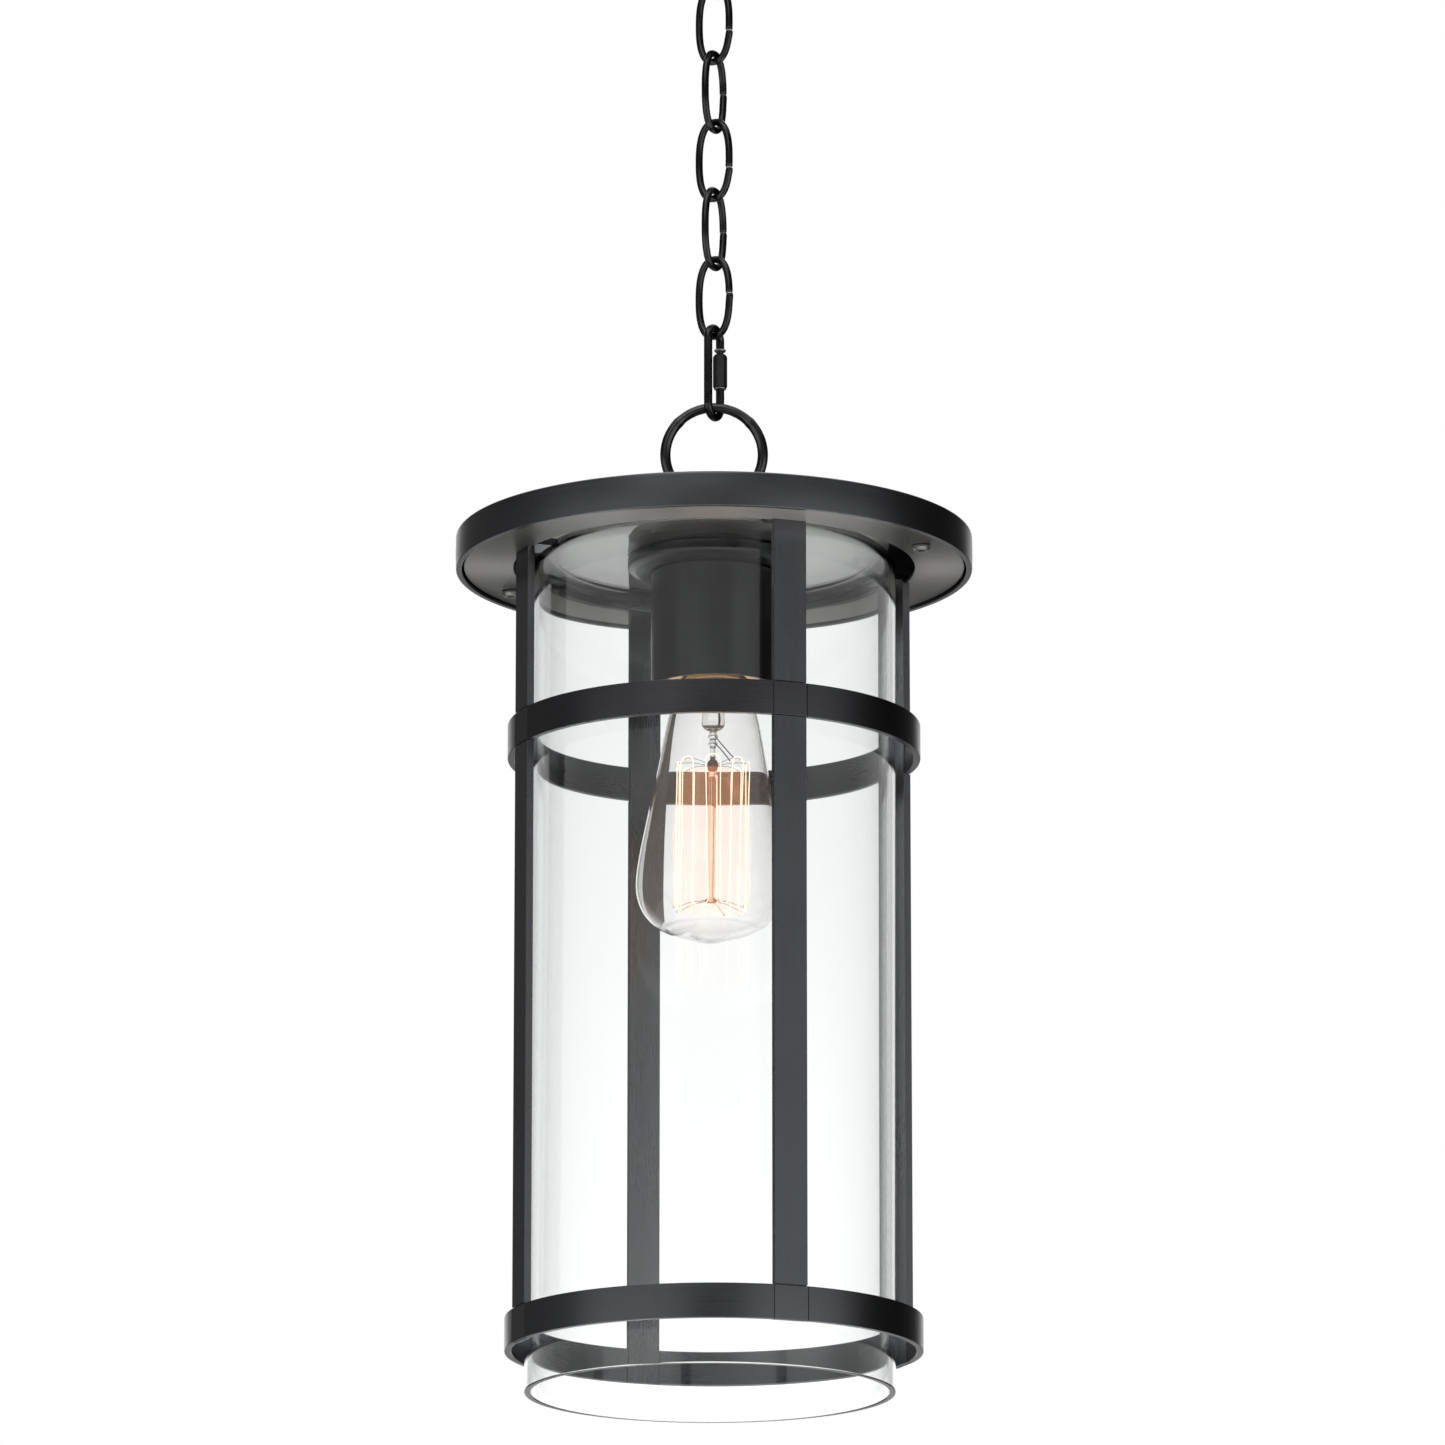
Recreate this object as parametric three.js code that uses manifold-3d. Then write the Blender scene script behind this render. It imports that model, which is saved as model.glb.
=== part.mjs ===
// A hanging lantern: a flat round cap over a cage of four flat bars and two hoops, a clear glass
// cylinder open at the bottom, one downward lampholder with a filament lamp, and a short chain
// from a ceiling canopy. Millimetres, +Z up. The origin is the middle of the ceiling face.

import * as THREE from "three";
import { mergeVertices } from "three/addons/utils/BufferGeometryUtils.js";
import Module from "manifold-3d";

const wasm = await Module();
wasm.setup();

// ---- driving dimensions ----

const GAP = 0.3; // clearance between pieces that touch
const THREAD_R = 4.75; // lamp thread, 3/8 inch tube
const THREAD_HOLE_R = THREAD_R + GAP;
const WIRE_BORE_R = 3.25;

// turns about the vertical, in degrees
const CHAIN_TURN = -30.8; // links 1, 3 and 5
const CROSS_TURN = CHAIN_TURN + 90; // links 2 and 4, the connector and the ceiling loop
const CAGE_TURN = 21.4; // posts

// ceiling fitting
const CANOPY_R = 63.5;
const CANOPY_DEPTH = 25;
const CANOPY_FLAT_R = 36;
const CANOPY_WALL = 1.2;
const CROSSBAR = { length: 102, width: 19, thick: 3 };
const BOX_SCREW_PITCH = 88.9; // outlet box screws, 3 1/2 inch
const BOX_SCREW_SLOT = { length: 9, width: 4.8 };
const CEILING_LOOP = { radius: 13, wire: 4 };
const CEILING_LOOP_BAR_Z = -59.7; // middle of the loop's lowest bar
const GROMMET = { x: 22, bore: 2.6, neck: 4.7, flange: 6.5, lip: 1.2 };

// chain
const LINK_COUNT = 5;
const LINK = { length: 39.1, width: 19, wire: 3.3, slit: 0.4 };
const CONNECTOR = { length: 44.6, width: 13.8, wire: 3.4, slitLow: -4, slitHigh: 3 };
const NUT = { radius: 3.2, bore: 2.0, low: -6.7, high: 9.5, corner: 0.7 };
const NUT_LIP = { radius: 2.7, groove: 2.3, low: 10.8, high: 12.2 };

// hang ring and cap, heights measured from the cap rim's lower edge
const CAP_Z = -329.2;
const RING = { radius: 21.75, wire: 4.7, z: 53.9 };
const CAP = { radius: 115, height: 15.5, rim: 2.7, sheet: 1.6, bevel: 1.0 };
const PLATE = { outer: 111.3, hole: 89.4, low: 1.2, thick: 1.2 };
const PLATE_SCREW = { circle: 100, azimuth: 66, head: 4, headHeight: 2, shank: 2.1 };
const STANDOFF = { outer: 4.5, bore: 2.5 };
const REFLECTOR = { radius: 78, thick: 1.2 };

// cage
const POST = { width: 15, thick: 3.2, outer: 91.0, foot: 12 };
const BAND = { outer: 91.1, inner: 88.0, height: 15, lap: 1.4 };
const MID_BAND_Z = -78.8;
const BOTTOM_BAND_Z = -344.2;

// glass cylinder
const GLASS = { radius: 81, top: 8.5, bottom: -369.6, wall: 3, shoulder: 10 };
const GLASS_HOLE_R = 10;

// lampholder
const FLANGE = { radius: 38.4, top: 5.2, bottom: -1.4, wall: 1.2 };
const CUP = { radius: 28, bottom: -53.8, wall: 1.2 };
const HOLDER = { outer: 20.5, bore: 14.7, floor: -22, top: -8.5, bottom: -50 };
const HOLDER_SHELL = { outer: 14.4, inner: 13.8 };

// lamp: a 64 mm squirrel cage lamp on a 26 mm screw base
const LAMP_TOP = -26.3;
const LAMP_TIP = -169.3;
const LAMP_BASE = { outer: 13.1, inner: 12.5, top: -31, bottom: -52 };
const LAMP_WALL = 1.0;
const FILAMENT = { radius: 16.4, top: -86, bottom: -155, strands: 10, arc: 300, wire: 0.45 };

const WIDE_SEGMENTS = 48; // cap and plate
const ROUND_SEGMENTS = 28;
const SMALL_SEGMENTS = 14;
const BAND_SEGMENTS = 36; // one flat of the hoop is a little wider than a post
const rad = THREE.MathUtils.degToRad;

// ---- materials ----

function finish(color, roughness, metalness) {
  return new THREE.MeshStandardMaterial({ color, roughness, metalness });
}
const BLACK = [0x232427, 0.5, 0.6];
const BLACKENED = [0x191715, 0.4, 0.8];
const BRUSHED = [0x6b6a66, 0.35, 1.0];
const STEEL = [0xb9b8b4, 0.3, 1.0];
const BRASS = [0xc09a4a, 0.35, 1.0];
const PORCELAIN = [0xeeeae0, 0.3, 0.0];
const RUBBER = [0x1c1c1c, 0.9, 0.0];
const CLEAR = [0xe6ecec, 0.05, 0.0];
const HOT_WIRE = [0xffb060, 0.5, 0.2];

// ---- solids ----

// One closed surface: shared corners merged, collapsed faces dropped, faces turned outwards.
function welded(geometry) {
  const bare = geometry.clone();
  bare.deleteAttribute("normal");
  bare.deleteAttribute("uv");
  const merged = mergeVertices(bare, 1e-4);
  const index = merged.index.array;
  const faces = [];
  for (let i = 0; i < index.length; i += 3) {
    const [a, b, c] = [index[i], index[i + 1], index[i + 2]];
    if (a !== b && b !== c && c !== a) faces.push([a, b, c]);
  }
  const corner = (k) => new THREE.Vector3().fromBufferAttribute(merged.attributes.position, k);
  const six = (f) => corner(f[0]).dot(corner(f[1]).cross(corner(f[2])));
  const outward = faces.reduce((sum, f) => sum + six(f), 0) > 0;
  merged.setIndex(faces.flatMap(([a, b, c]) => (outward ? [a, b, c] : [a, c, b])));
  return merged;
}

function solid(geometry) {
  const g = welded(geometry);
  const vertProperties = g.attributes.position.array;
  const triVerts = new Uint32Array(g.index.array);
  return new wasm.Manifold(new wasm.Mesh({ numProp: 3, vertProperties, triVerts }));
}

function geometryOf(manifold) {
  const m = manifold.getMesh();
  const g = new THREE.BufferGeometry();
  g.setAttribute("position", new THREE.BufferAttribute(Float32Array.from(m.vertProperties), 3));
  g.setIndex(Array.from(m.triVerts));
  return g;
}

function cut(base, ...tools) {
  return geometryOf(tools.reduce((body, tool) => body.subtract(solid(tool)), solid(base)));
}

function joined(...pieces) {
  return geometryOf(pieces.map(solid).reduce((body, piece) => body.add(piece)));
}

// A [radius, height] profile turned about Z.
function turned(profile, segments = ROUND_SEGMENTS, start = 0) {
  const points = profile.map(([r, z]) => new THREE.Vector2(r, z));
  return new THREE.LatheGeometry(points, segments, start, Math.PI * 2).rotateX(Math.PI / 2);
}

function tube(outer, inner, low, high, segments = ROUND_SEGMENTS, start = 0) {
  const profile = [[inner, low], [outer, low], [outer, high], [inner, high], [inner, low]];
  return turned(profile, segments, start);
}

function box(width, depth, height, x, y, z) {
  return new THREE.BoxGeometry(width, depth, height).translate(x, y, z);
}

function upright(radius, height, x, y, z, segments = SMALL_SEGMENTS) {
  return new THREE.CylinderGeometry(radius, radius, height, segments)
    .rotateX(Math.PI / 2)
    .translate(x, y, z);
}

// A rod between two points.
function rod(from, to, radius, sides = 4) {
  const along = new THREE.Vector3().subVectors(to, from);
  const turn = new THREE.Quaternion().setFromUnitVectors(
    new THREE.Vector3(0, 1, 0),
    along.clone().normalize(),
  );
  const middle = new THREE.Vector3().addVectors(from, to).multiplyScalar(0.5);
  return new THREE.CylinderGeometry(radius, radius, along.length(), sides)
    .applyQuaternion(turn)
    .translate(middle.x, middle.y, middle.z);
}

function section(radius, sides = 6) {
  const corner = (k) => ((k + 0.5) / sides) * Math.PI * 2;
  const points = Array.from({ length: sides }, (_, k) => k).map(
    (k) => new THREE.Vector2(radius * Math.cos(corner(k)), radius * Math.sin(corner(k))),
  );
  return new THREE.Shape(points);
}

// Centre line of a link in the XZ plane: it starts above the slit in the right leg, goes over the
// top, down the left leg, round the bottom and back up to the slit. A straight stretch is one
// step long and a half circle is ARC_STEPS long.
const ARC_STEPS = 8;
const LINK_STEPS = 3 + 2 * ARC_STEPS;

class LinkPath extends THREE.Curve {
  constructor(length, width, wire, slitLow, slitHigh) {
    super();
    this.bend = (width - wire) / 2;
    this.straight = (length - wire) / 2 - this.bend;
    this.slit = [slitLow, slitHigh];
  }

  getPoint(t) {
    const { bend, straight } = this;
    const [slitLow, slitHigh] = this.slit;
    const at = (x, z) => new THREE.Vector3(x, 0, z);
    const arc = (z, a) => at(bend * Math.cos(a), z + bend * Math.sin(a));
    const mix = THREE.MathUtils.lerp;
    const s = t * LINK_STEPS;
    if (s < 1) return at(bend, mix(slitHigh, straight, s));
    if (s < 1 + ARC_STEPS) return arc(straight, ((s - 1) / ARC_STEPS) * Math.PI);
    if (s < 2 + ARC_STEPS) return at(-bend, mix(straight, -straight, s - 1 - ARC_STEPS));
    if (s < LINK_STEPS - 1) return arc(-straight, ((s - 2) / ARC_STEPS) * Math.PI);
    return at(bend, mix(-straight, slitLow, s - LINK_STEPS + 1));
  }

  getPointAt(t) {
    return this.getPoint(t);
  }

  getTangentAt(t) {
    return this.getTangent(t);
  }
}

function wireLink({ length, width, wire }, slitLow, slitHigh) {
  const extrudePath = new LinkPath(length, width, wire, slitLow, slitHigh);
  return new THREE.ExtrudeGeometry(section(wire / 2), { steps: LINK_STEPS, extrudePath });
}

// ---- scene graph ----

const lanternRoot = new THREE.Group();

function add(group, name, geometry, look) {
  const mesh = new THREE.Mesh(welded(geometry), finish(...look));
  mesh.name = name;
  group.add(mesh);
  return mesh;
}

function addGroup(parent, z, turnDegrees = 0) {
  const group = new THREE.Group();
  group.position.z = z;
  group.rotation.z = rad(turnDegrees);
  parent.add(group);
  return group;
}

// ---- ceiling fitting ----

function canopyShell() {
  const w = CANOPY_WALL;
  const outside = [
    [CANOPY_R, 0],
    [CANOPY_R, -8],
    [CANOPY_R - 4, -15],
    [CANOPY_R - 12, -21],
    [CANOPY_FLAT_R, -CANOPY_DEPTH],
    [THREAD_HOLE_R, -CANOPY_DEPTH],
  ];
  const inside = [
    [THREAD_HOLE_R, w - CANOPY_DEPTH],
    [CANOPY_FLAT_R, w - CANOPY_DEPTH],
    [CANOPY_R - 12.6, w - 21.2],
    [CANOPY_R - 5, w - 15.6],
    [CANOPY_R - w, -8],
    [CANOPY_R - w, 0],
  ];
  const shell = turned([...outside, ...inside, outside[0]]);
  return cut(shell, upright(GROMMET.neck + GAP, 10, GROMMET.x, 0, -CANOPY_DEPTH));
}

function crossbar() {
  const { length, width, thick } = CROSSBAR;
  const bar = box(length, width, thick, 0, 0, -thick / 2);
  const slot = (x) => box(BOX_SCREW_SLOT.length, BOX_SCREW_SLOT.width, 9, x, 0, 0);
  const threadHole = upright(THREAD_HOLE_R, 9, 0, 0, 0);
  return cut(bar, threadHole, slot(BOX_SCREW_PITCH / 2), slot(-BOX_SCREW_PITCH / 2));
}

function hexNut(low, high, radius = 8) {
  return cut(upright(radius, high - low, 0, 0, (high + low) / 2, 6),
    upright(THREAD_HOLE_R, 20, 0, 0, (high + low) / 2));
}

function uprightRing(radius, wire, z) {
  return new THREE.TorusGeometry(radius, wire / 2, 7, 24).rotateX(Math.PI / 2).translate(0, 0, z);
}

// A turned foot with a blind threaded hole from the open end, joined to a ring.
function loopWithFoot(ring, foot) {
  return joined(ring, turned(foot, 16));
}

// Rubber bushing in a sheet whose lower face is at low and upper face at high.
function grommet(low, high) {
  const { bore, neck, flange, lip } = GROMMET;
  return turned([
    [bore, low - GAP - lip], [flange, low - GAP - lip], [flange, low - GAP], [neck, low - GAP],
    [neck, high + GAP], [flange, high + GAP], [flange, high + GAP + lip],
    [bore, high + GAP + lip], [bore, low - GAP - lip],
  ], SMALL_SEGMENTS).translate(GROMMET.x, 0, 0);
}

function addCeilingFitting() {
  const group = addGroup(lanternRoot, 0, CROSS_TURN);
  const under = -CANOPY_DEPTH - GAP;
  const ringZ = CEILING_LOOP_BAR_Z + CEILING_LOOP.radius;
  const holeEnd = under - 5.5;
  const foot = [
    [0, holeEnd], [THREAD_HOLE_R, holeEnd], [THREAD_HOLE_R, under], [12, under], [12, under - 3],
    [8, under - 5], [6.5, ringZ + CEILING_LOOP.radius], [0, ringZ + CEILING_LOOP.radius],
  ];
  const loopRing = uprightRing(CEILING_LOOP.radius, CEILING_LOOP.wire, ringZ);
  const threadLow = holeEnd + 0.6;
  const nutTop = -CROSSBAR.thick - GAP;
  add(group, "ceiling_crossbar", crossbar(), STEEL);
  add(group, "ceiling_canopy", canopyShell(), BLACK);
  add(group, "ceiling_loop", loopWithFoot(loopRing, foot), BLACK);
  add(group, "canopy_threaded_tube", tube(THREAD_R, WIRE_BORE_R, threadLow, -0.5, 16), STEEL);
  add(group, "crossbar_nut", hexNut(nutTop - 4, nutTop), STEEL);
  const grommetSheet = grommet(-CANOPY_DEPTH, CANOPY_WALL - CANOPY_DEPTH);
  add(group, "canopy_wire_grommet", grommetSheet, RUBBER);
}

// ---- chain and connector ----

const linkTop = CEILING_LOOP_BAR_Z + (CEILING_LOOP.wire + LINK.wire) / 2 + GAP;
const linkPitch = LINK.length - 2 * LINK.wire - GAP;
const linkCentre = (k) => linkTop - (LINK.length - LINK.wire) / 2 - k * linkPitch;
const lastBar = linkCentre(LINK_COUNT - 1) - (LINK.length - LINK.wire) / 2;
const connectorTop = lastBar + (LINK.wire + CONNECTOR.wire) / 2 + GAP;
const connectorCentre = connectorTop - (CONNECTOR.length - CONNECTOR.wire) / 2;

function addChain() {
  for (let k = 0; k < LINK_COUNT; k += 1) {
    const group = addGroup(lanternRoot, linkCentre(k), k % 2 ? CROSS_TURN : CHAIN_TURN);
    const link = wireLink(LINK, -LINK.slit / 2, LINK.slit / 2);
    add(group, "chain_link_" + (k + 1), link, BLACKENED);
  }
}

// Threaded connector: the long nut on its right leg closes the slit, and runs 3 mm up the bare
// thread, clear of the lower stub, to open it.
function addConnector() {
  const group = addGroup(lanternRoot, connectorCentre, CROSS_TURN);
  const wire = wireLink(CONNECTOR, CONNECTOR.slitLow, CONNECTOR.slitHigh);
  add(group, "connector_link", wire, BLACKENED);
  const { radius, bore, low, high, corner } = NUT;
  const { radius: lip, groove, low: lipLow, high: lipHigh } = NUT_LIP;
  const nut = turned([
    [bore, low], [radius - corner, low], [radius, low + corner], [radius, high - corner],
    [groove, high], [groove, lipLow], [lip, lipLow], [lip, lipHigh], [bore, lipHigh],
    [bore, low],
  ], 12).translate((CONNECTOR.width - CONNECTOR.wire) / 2, 0, 0);
  add(group, "connector_nut", nut, BLACKENED);
}

// ---- cap ----

function capShell() {
  const under = CAP.height - CAP.sheet;
  const inner = CAP.radius - CAP.rim;
  const shell = turned([
    [THREAD_HOLE_R, under], [inner, under], [inner, 0], [CAP.radius, 0],
    [CAP.radius, CAP.height - CAP.bevel], [CAP.radius - CAP.bevel, CAP.height],
    [THREAD_HOLE_R, CAP.height], [THREAD_HOLE_R, under],
  ], WIDE_SEGMENTS);
  return cut(shell, upright(GROMMET.neck + GAP, 10, GROMMET.x, 0, CAP.height));
}

const screwPlace = (side) => {
  const a = rad(PLATE_SCREW.azimuth);
  const r = PLATE_SCREW.circle * side;
  return [r * Math.sin(a), -r * Math.cos(a)];
};

function undersidePlate() {
  const high = PLATE.low + PLATE.thick;
  const hole = ([x, y]) => upright(PLATE_SCREW.shank + 0.4, 9, x, y, PLATE.low, 12);
  const notch = (k) => postEnvelope(POST.outer + GAP, 9, PLATE.low).rotateZ(rad(CAGE_TURN + 90 * k));
  const ring = tube(PLATE.outer, PLATE.hole, PLATE.low, high, WIDE_SEGMENTS);
  return cut(ring, hole(screwPlace(1)), hole(screwPlace(-1)), ...[0, 1, 2, 3].map(notch));
}

// Pan head screw with a cross recess, head down.
function plateScrew() {
  const top = PLATE.low - GAP;
  const low = top - PLATE_SCREW.headHeight;
  const { head, shank } = PLATE_SCREW;
  const body = turned([
    [0, low], [head - 1.4, low], [head - 0.3, low + 0.8], [head, top], [shank, top],
    [shank, CAP.height - CAP.sheet - 2], [0, CAP.height - CAP.sheet - 2],
  ], 12);
  const slot = box(4.2, 1, 1.6, 0, 0, low);
  return cut(body, slot, slot.clone().rotateZ(Math.PI / 2));
}

function addCap() {
  const group = addGroup(lanternRoot, CAP_Z);
  const under = CAP.height - CAP.sheet;
  const plateTop = PLATE.low + PLATE.thick;
  const foot = [
    [0, 12.7], [THREAD_HOLE_R, 12.7], [THREAD_HOLE_R, GAP], [13, GAP],
    [13, 3.7], [9, 5.7], [6.5, 11.7], [5, 16.7], [0, 16.7],
  ].map(([r, z]) => [r, z + CAP.height]);
  const ring = uprightRing(RING.radius, RING.wire, RING.z);
  add(group, "hang_ring", loopWithFoot(ring, foot), BLACK);
  add(group, "cap_shell", capShell(), BLACK);
  add(group, "cap_wire_grommet", grommet(under, CAP.height), RUBBER);
  const high = under - GAP;
  const hole = upright(GROMMET.flange + 1, 9, GROMMET.x, 0, high);
  const disc = tube(REFLECTOR.radius, THREAD_HOLE_R, high - REFLECTOR.thick, high);
  add(group, "reflector_disc", cut(disc, hole), BRUSHED);
  add(group, "underside_plate", undersidePlate(), BRUSHED);
  [1, -1].forEach((side, k) => {
    const [x, y] = screwPlace(side);
    const screw = add(group, "plate_screw_" + (k + 1), plateScrew(), STEEL);
    screw.position.set(x, y, 0);
    const spacer = tube(STANDOFF.outer, STANDOFF.bore, plateTop + GAP, under - GAP, 12);
    const standoff = add(group, "plate_standoff_" + (k + 1), spacer, STEEL);
    standoff.position.set(x, y, 0);
  });
}

// ---- cage ----

// The block that a post needs, from inside its inner face out to a given radius.
function postEnvelope(outer, height, z) {
  const inner = POST.outer - POST.thick - GAP;
  return box(POST.width + 2 * GAP, outer - inner, height, 0, -(outer + inner) / 2, z);
}

function post() {
  const top = PLATE.low + PLATE.thick + GAP + POST.thick;
  const bottom = BOTTOM_BAND_Z - BAND.height / 2;
  const middle = POST.outer - POST.thick / 2;
  const bar = box(POST.width, POST.thick, top - bottom, 0, -middle, (top + bottom) / 2);
  const reach = POST.thick + POST.foot;
  const footY = -(POST.outer - POST.thick + reach / 2);
  const foot = box(POST.width, reach, POST.thick, 0, footY, top - POST.thick / 2);
  const lapFace = BAND.outer - BAND.lap - GAP;
  const lap = (z) => box(40, 10, BAND.height + 2 * GAP, 0, -(lapFace + 5), z);
  return cut(joined(bar, foot), lap(MID_BAND_Z), lap(BOTTOM_BAND_Z));
}

function band(z) {
  const flat = Math.cos(Math.PI / BAND_SEGMENTS);
  const [low, high] = [z - BAND.height / 2, z + BAND.height / 2];
  const start = Math.PI / BAND_SEGMENTS;
  const hoop = tube(BAND.outer / flat, BAND.inner / flat, low, high, BAND_SEGMENTS, start);
  const notch = (k) => postEnvelope(BAND.outer - BAND.lap, 30, z).rotateZ(rad(90 * k));
  return cut(hoop, ...[0, 1, 2, 3].map(notch));
}

function addCage() {
  const group = addGroup(lanternRoot, CAP_Z, CAGE_TURN);
  for (let k = 0; k < 4; k += 1) {
    add(group, "post_" + (k + 1), post(), BLACK).rotation.z = rad(90 * k);
  }
  add(group, "mid_band", band(MID_BAND_Z), BLACK);
  add(group, "bottom_band", band(BOTTOM_BAND_Z), BLACK);
}

// ---- glass ----

// Points of a quarter turn about (r, z), from one angle to another.
function quarter(r, z, radius, from, to, steps = 4) {
  return Array.from({ length: steps + 1 }, (_, k) => {
    const a = rad(from + ((to - from) * k) / steps);
    return [r + radius * Math.cos(a), z + radius * Math.sin(a)];
  });
}

function glassCylinder() {
  const { radius, top, bottom, wall, shoulder } = GLASS;
  const bend = [radius - shoulder, top - shoulder];
  return turned([
    [GLASS_HOLE_R, top],
    ...quarter(...bend, shoulder, 90, 0),
    [radius, bottom + 1],
    [radius - wall / 2, bottom],
    [radius - wall, bottom + 1],
    ...quarter(...bend, shoulder - wall, 0, 90),
    [GLASS_HOLE_R, top - wall],
    [GLASS_HOLE_R, top],
  ]);
}

function addGlass() {
  const group = addGroup(lanternRoot, CAP_Z);
  const gasketHigh = CAP.height - CAP.sheet - 2 * GAP - REFLECTOR.thick;
  add(group, "glass_cylinder", glassCylinder(), CLEAR);
  add(group, "glass_gasket", tube(30, THREAD_HOLE_R, GLASS.top + GAP, gasketHigh, 24), RUBBER);
}

// ---- lampholder ----

function flangeDish() {
  const { radius, top, bottom, wall } = FLANGE;
  return turned([
    [THREAD_HOLE_R, bottom], [CUP.radius + 1, bottom], [radius - 3, bottom + 0.9],
    [radius, bottom + 2], [radius, top], [radius - wall, top], [radius - wall, bottom + 2.6],
    [radius - 3.6, bottom + 0.9 + wall], [CUP.radius, bottom + wall],
    [THREAD_HOLE_R, bottom + wall], [THREAD_HOLE_R, bottom],
  ]);
}

function socketCup() {
  const top = FLANGE.bottom - GAP;
  const { radius, bottom, wall } = CUP;
  return turned([
    [THREAD_HOLE_R, top], [THREAD_HOLE_R, top - wall], [radius - wall, top - wall],
    [radius - wall, bottom], [radius, bottom], [radius, top - 0.8], [radius - 0.8, top],
    [THREAD_HOLE_R, top],
  ]);
}

function porcelainHolder() {
  const { outer, bore, floor, top, bottom } = HOLDER;
  return turned([
    [THREAD_HOLE_R, top], [THREAD_HOLE_R, floor], [bore, floor], [bore, bottom],
    [outer, bottom], [outer, top - 9], [11, top], [THREAD_HOLE_R, top],
  ], 24);
}

function addLampholder() {
  const group = addGroup(lanternRoot, CAP_Z);
  const nutTop = FLANGE.bottom - CUP.wall - 2 * GAP;
  const contactHigh = HOLDER.floor - GAP;
  const threadLow = HOLDER.top - 5;
  const shell = tube(HOLDER_SHELL.outer, HOLDER_SHELL.inner, HOLDER.bottom + 1, contactHigh, 24);
  add(group, "centre_threaded_tube", tube(THREAD_R, WIRE_BORE_R, threadLow, CAP.height + 11.9, 16), STEEL);
  add(group, "socket_flange", flangeDish(), BLACK);
  add(group, "socket_cup", socketCup(), BLACK);
  add(group, "socket_nut", hexNut(nutTop - 4, nutTop), STEEL);
  add(group, "lampholder_body", porcelainHolder(), PORCELAIN);
  add(group, "lampholder_screw_shell", shell, BRASS);
  add(group, "lampholder_contact", upright(6, 1.2, 0, 0, contactHigh - 0.6), BRASS);
}

// ---- lamp ----

// Outside of the bulb from the neck down to the tip, as [radius, height].
function bulbOutline() {
  return [
    [11.9, -34], [11.9, -52.8], [17.4, -59], [20, -68], [30.6, -120], [33.3, -139],
    [32, -150], [25.6, -161], [14, -166.8], [2.4, LAMP_TIP],
  ];
}

function bulbGlass() {
  const outside = bulbOutline();
  const inside = outside.map(([r, z], k) => {
    const low = Math.max(0, k - 5) / (outside.length - 6);
    return [Math.max(0.6, r - LAMP_WALL), z + LAMP_WALL * low];
  });
  return turned([[0, LAMP_TIP], ...outside.reverse(), ...inside, [0, LAMP_TIP + LAMP_WALL]], 20);
}

function bulbStem() {
  return turned([
    [0, -36], [9, -36], [5, -44], [4.8, -68], [2.4, -71], [1.4, -76], [1.2, -87], [2.4, -88],
    [2.4, -92], [1.2, -93], [1.1, -149], [3, -150.5], [0, -151.5],
  ], 12);
}

// A cage of upright strands joined in turn at the top and at the bottom.
function filament() {
  const { radius, top, bottom, strands, arc, wire } = FILAMENT;
  const end = (k, z) => {
    const a = rad(-arc / 2 + (arc * k) / (strands - 1));
    return new THREE.Vector3(radius * Math.sin(a), -radius * Math.cos(a), z);
  };
  const pieces = [];
  for (let k = 0; k < strands; k += 1) {
    pieces.push(rod(end(k, bottom), end(k, top), wire));
    const z = k % 2 ? top - wire : bottom + wire;
    if (k) pieces.push(rod(end(k - 1, z), end(k, z), wire));
  }
  return joined(...pieces);
}

function addLamp() {
  const group = addGroup(lanternRoot, CAP_Z);
  const { outer, inner, top, bottom } = LAMP_BASE;
  const shell = turned([
    [inner, bottom], [outer, bottom], [outer, top - 1], [outer - 0.8, top], [inner, top - 0.6],
    [inner, bottom],
  ], 24);
  const insulator = turned([
    [0, top + 0.4], [11.6, top + 0.4], [10.4, top + 1.6], [6, top + 3], [0, top + 3],
  ], 16);
  const contactHeight = LAMP_TOP - (top + 3 + GAP);
  const contactMiddle = LAMP_TOP - contactHeight / 2;
  add(group, "bulb_glass", bulbGlass(), CLEAR);
  add(group, "bulb_base", shell, BRASS);
  add(group, "bulb_base_insulator", insulator, RUBBER);
  add(group, "bulb_base_contact", upright(4.6, contactHeight, 0, 0, contactMiddle), STEEL);
  add(group, "bulb_stem", bulbStem(), CLEAR);
  add(group, "bulb_filament", filament(), HOT_WIRE);
}

addCeilingFitting();
addChain();
addConnector();
addCap();
addCage();
addGlass();
addLampholder();
addLamp();

export default lanternRoot;
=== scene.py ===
"""Visual model of the hanging lantern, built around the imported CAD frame.

Sizes are millimetres in the frame's own axes, unless a name says otherwise. Mesh points turn
into metres in mesh_object().
"""

import math
from math import cos, pi, radians, sin, tau

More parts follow.
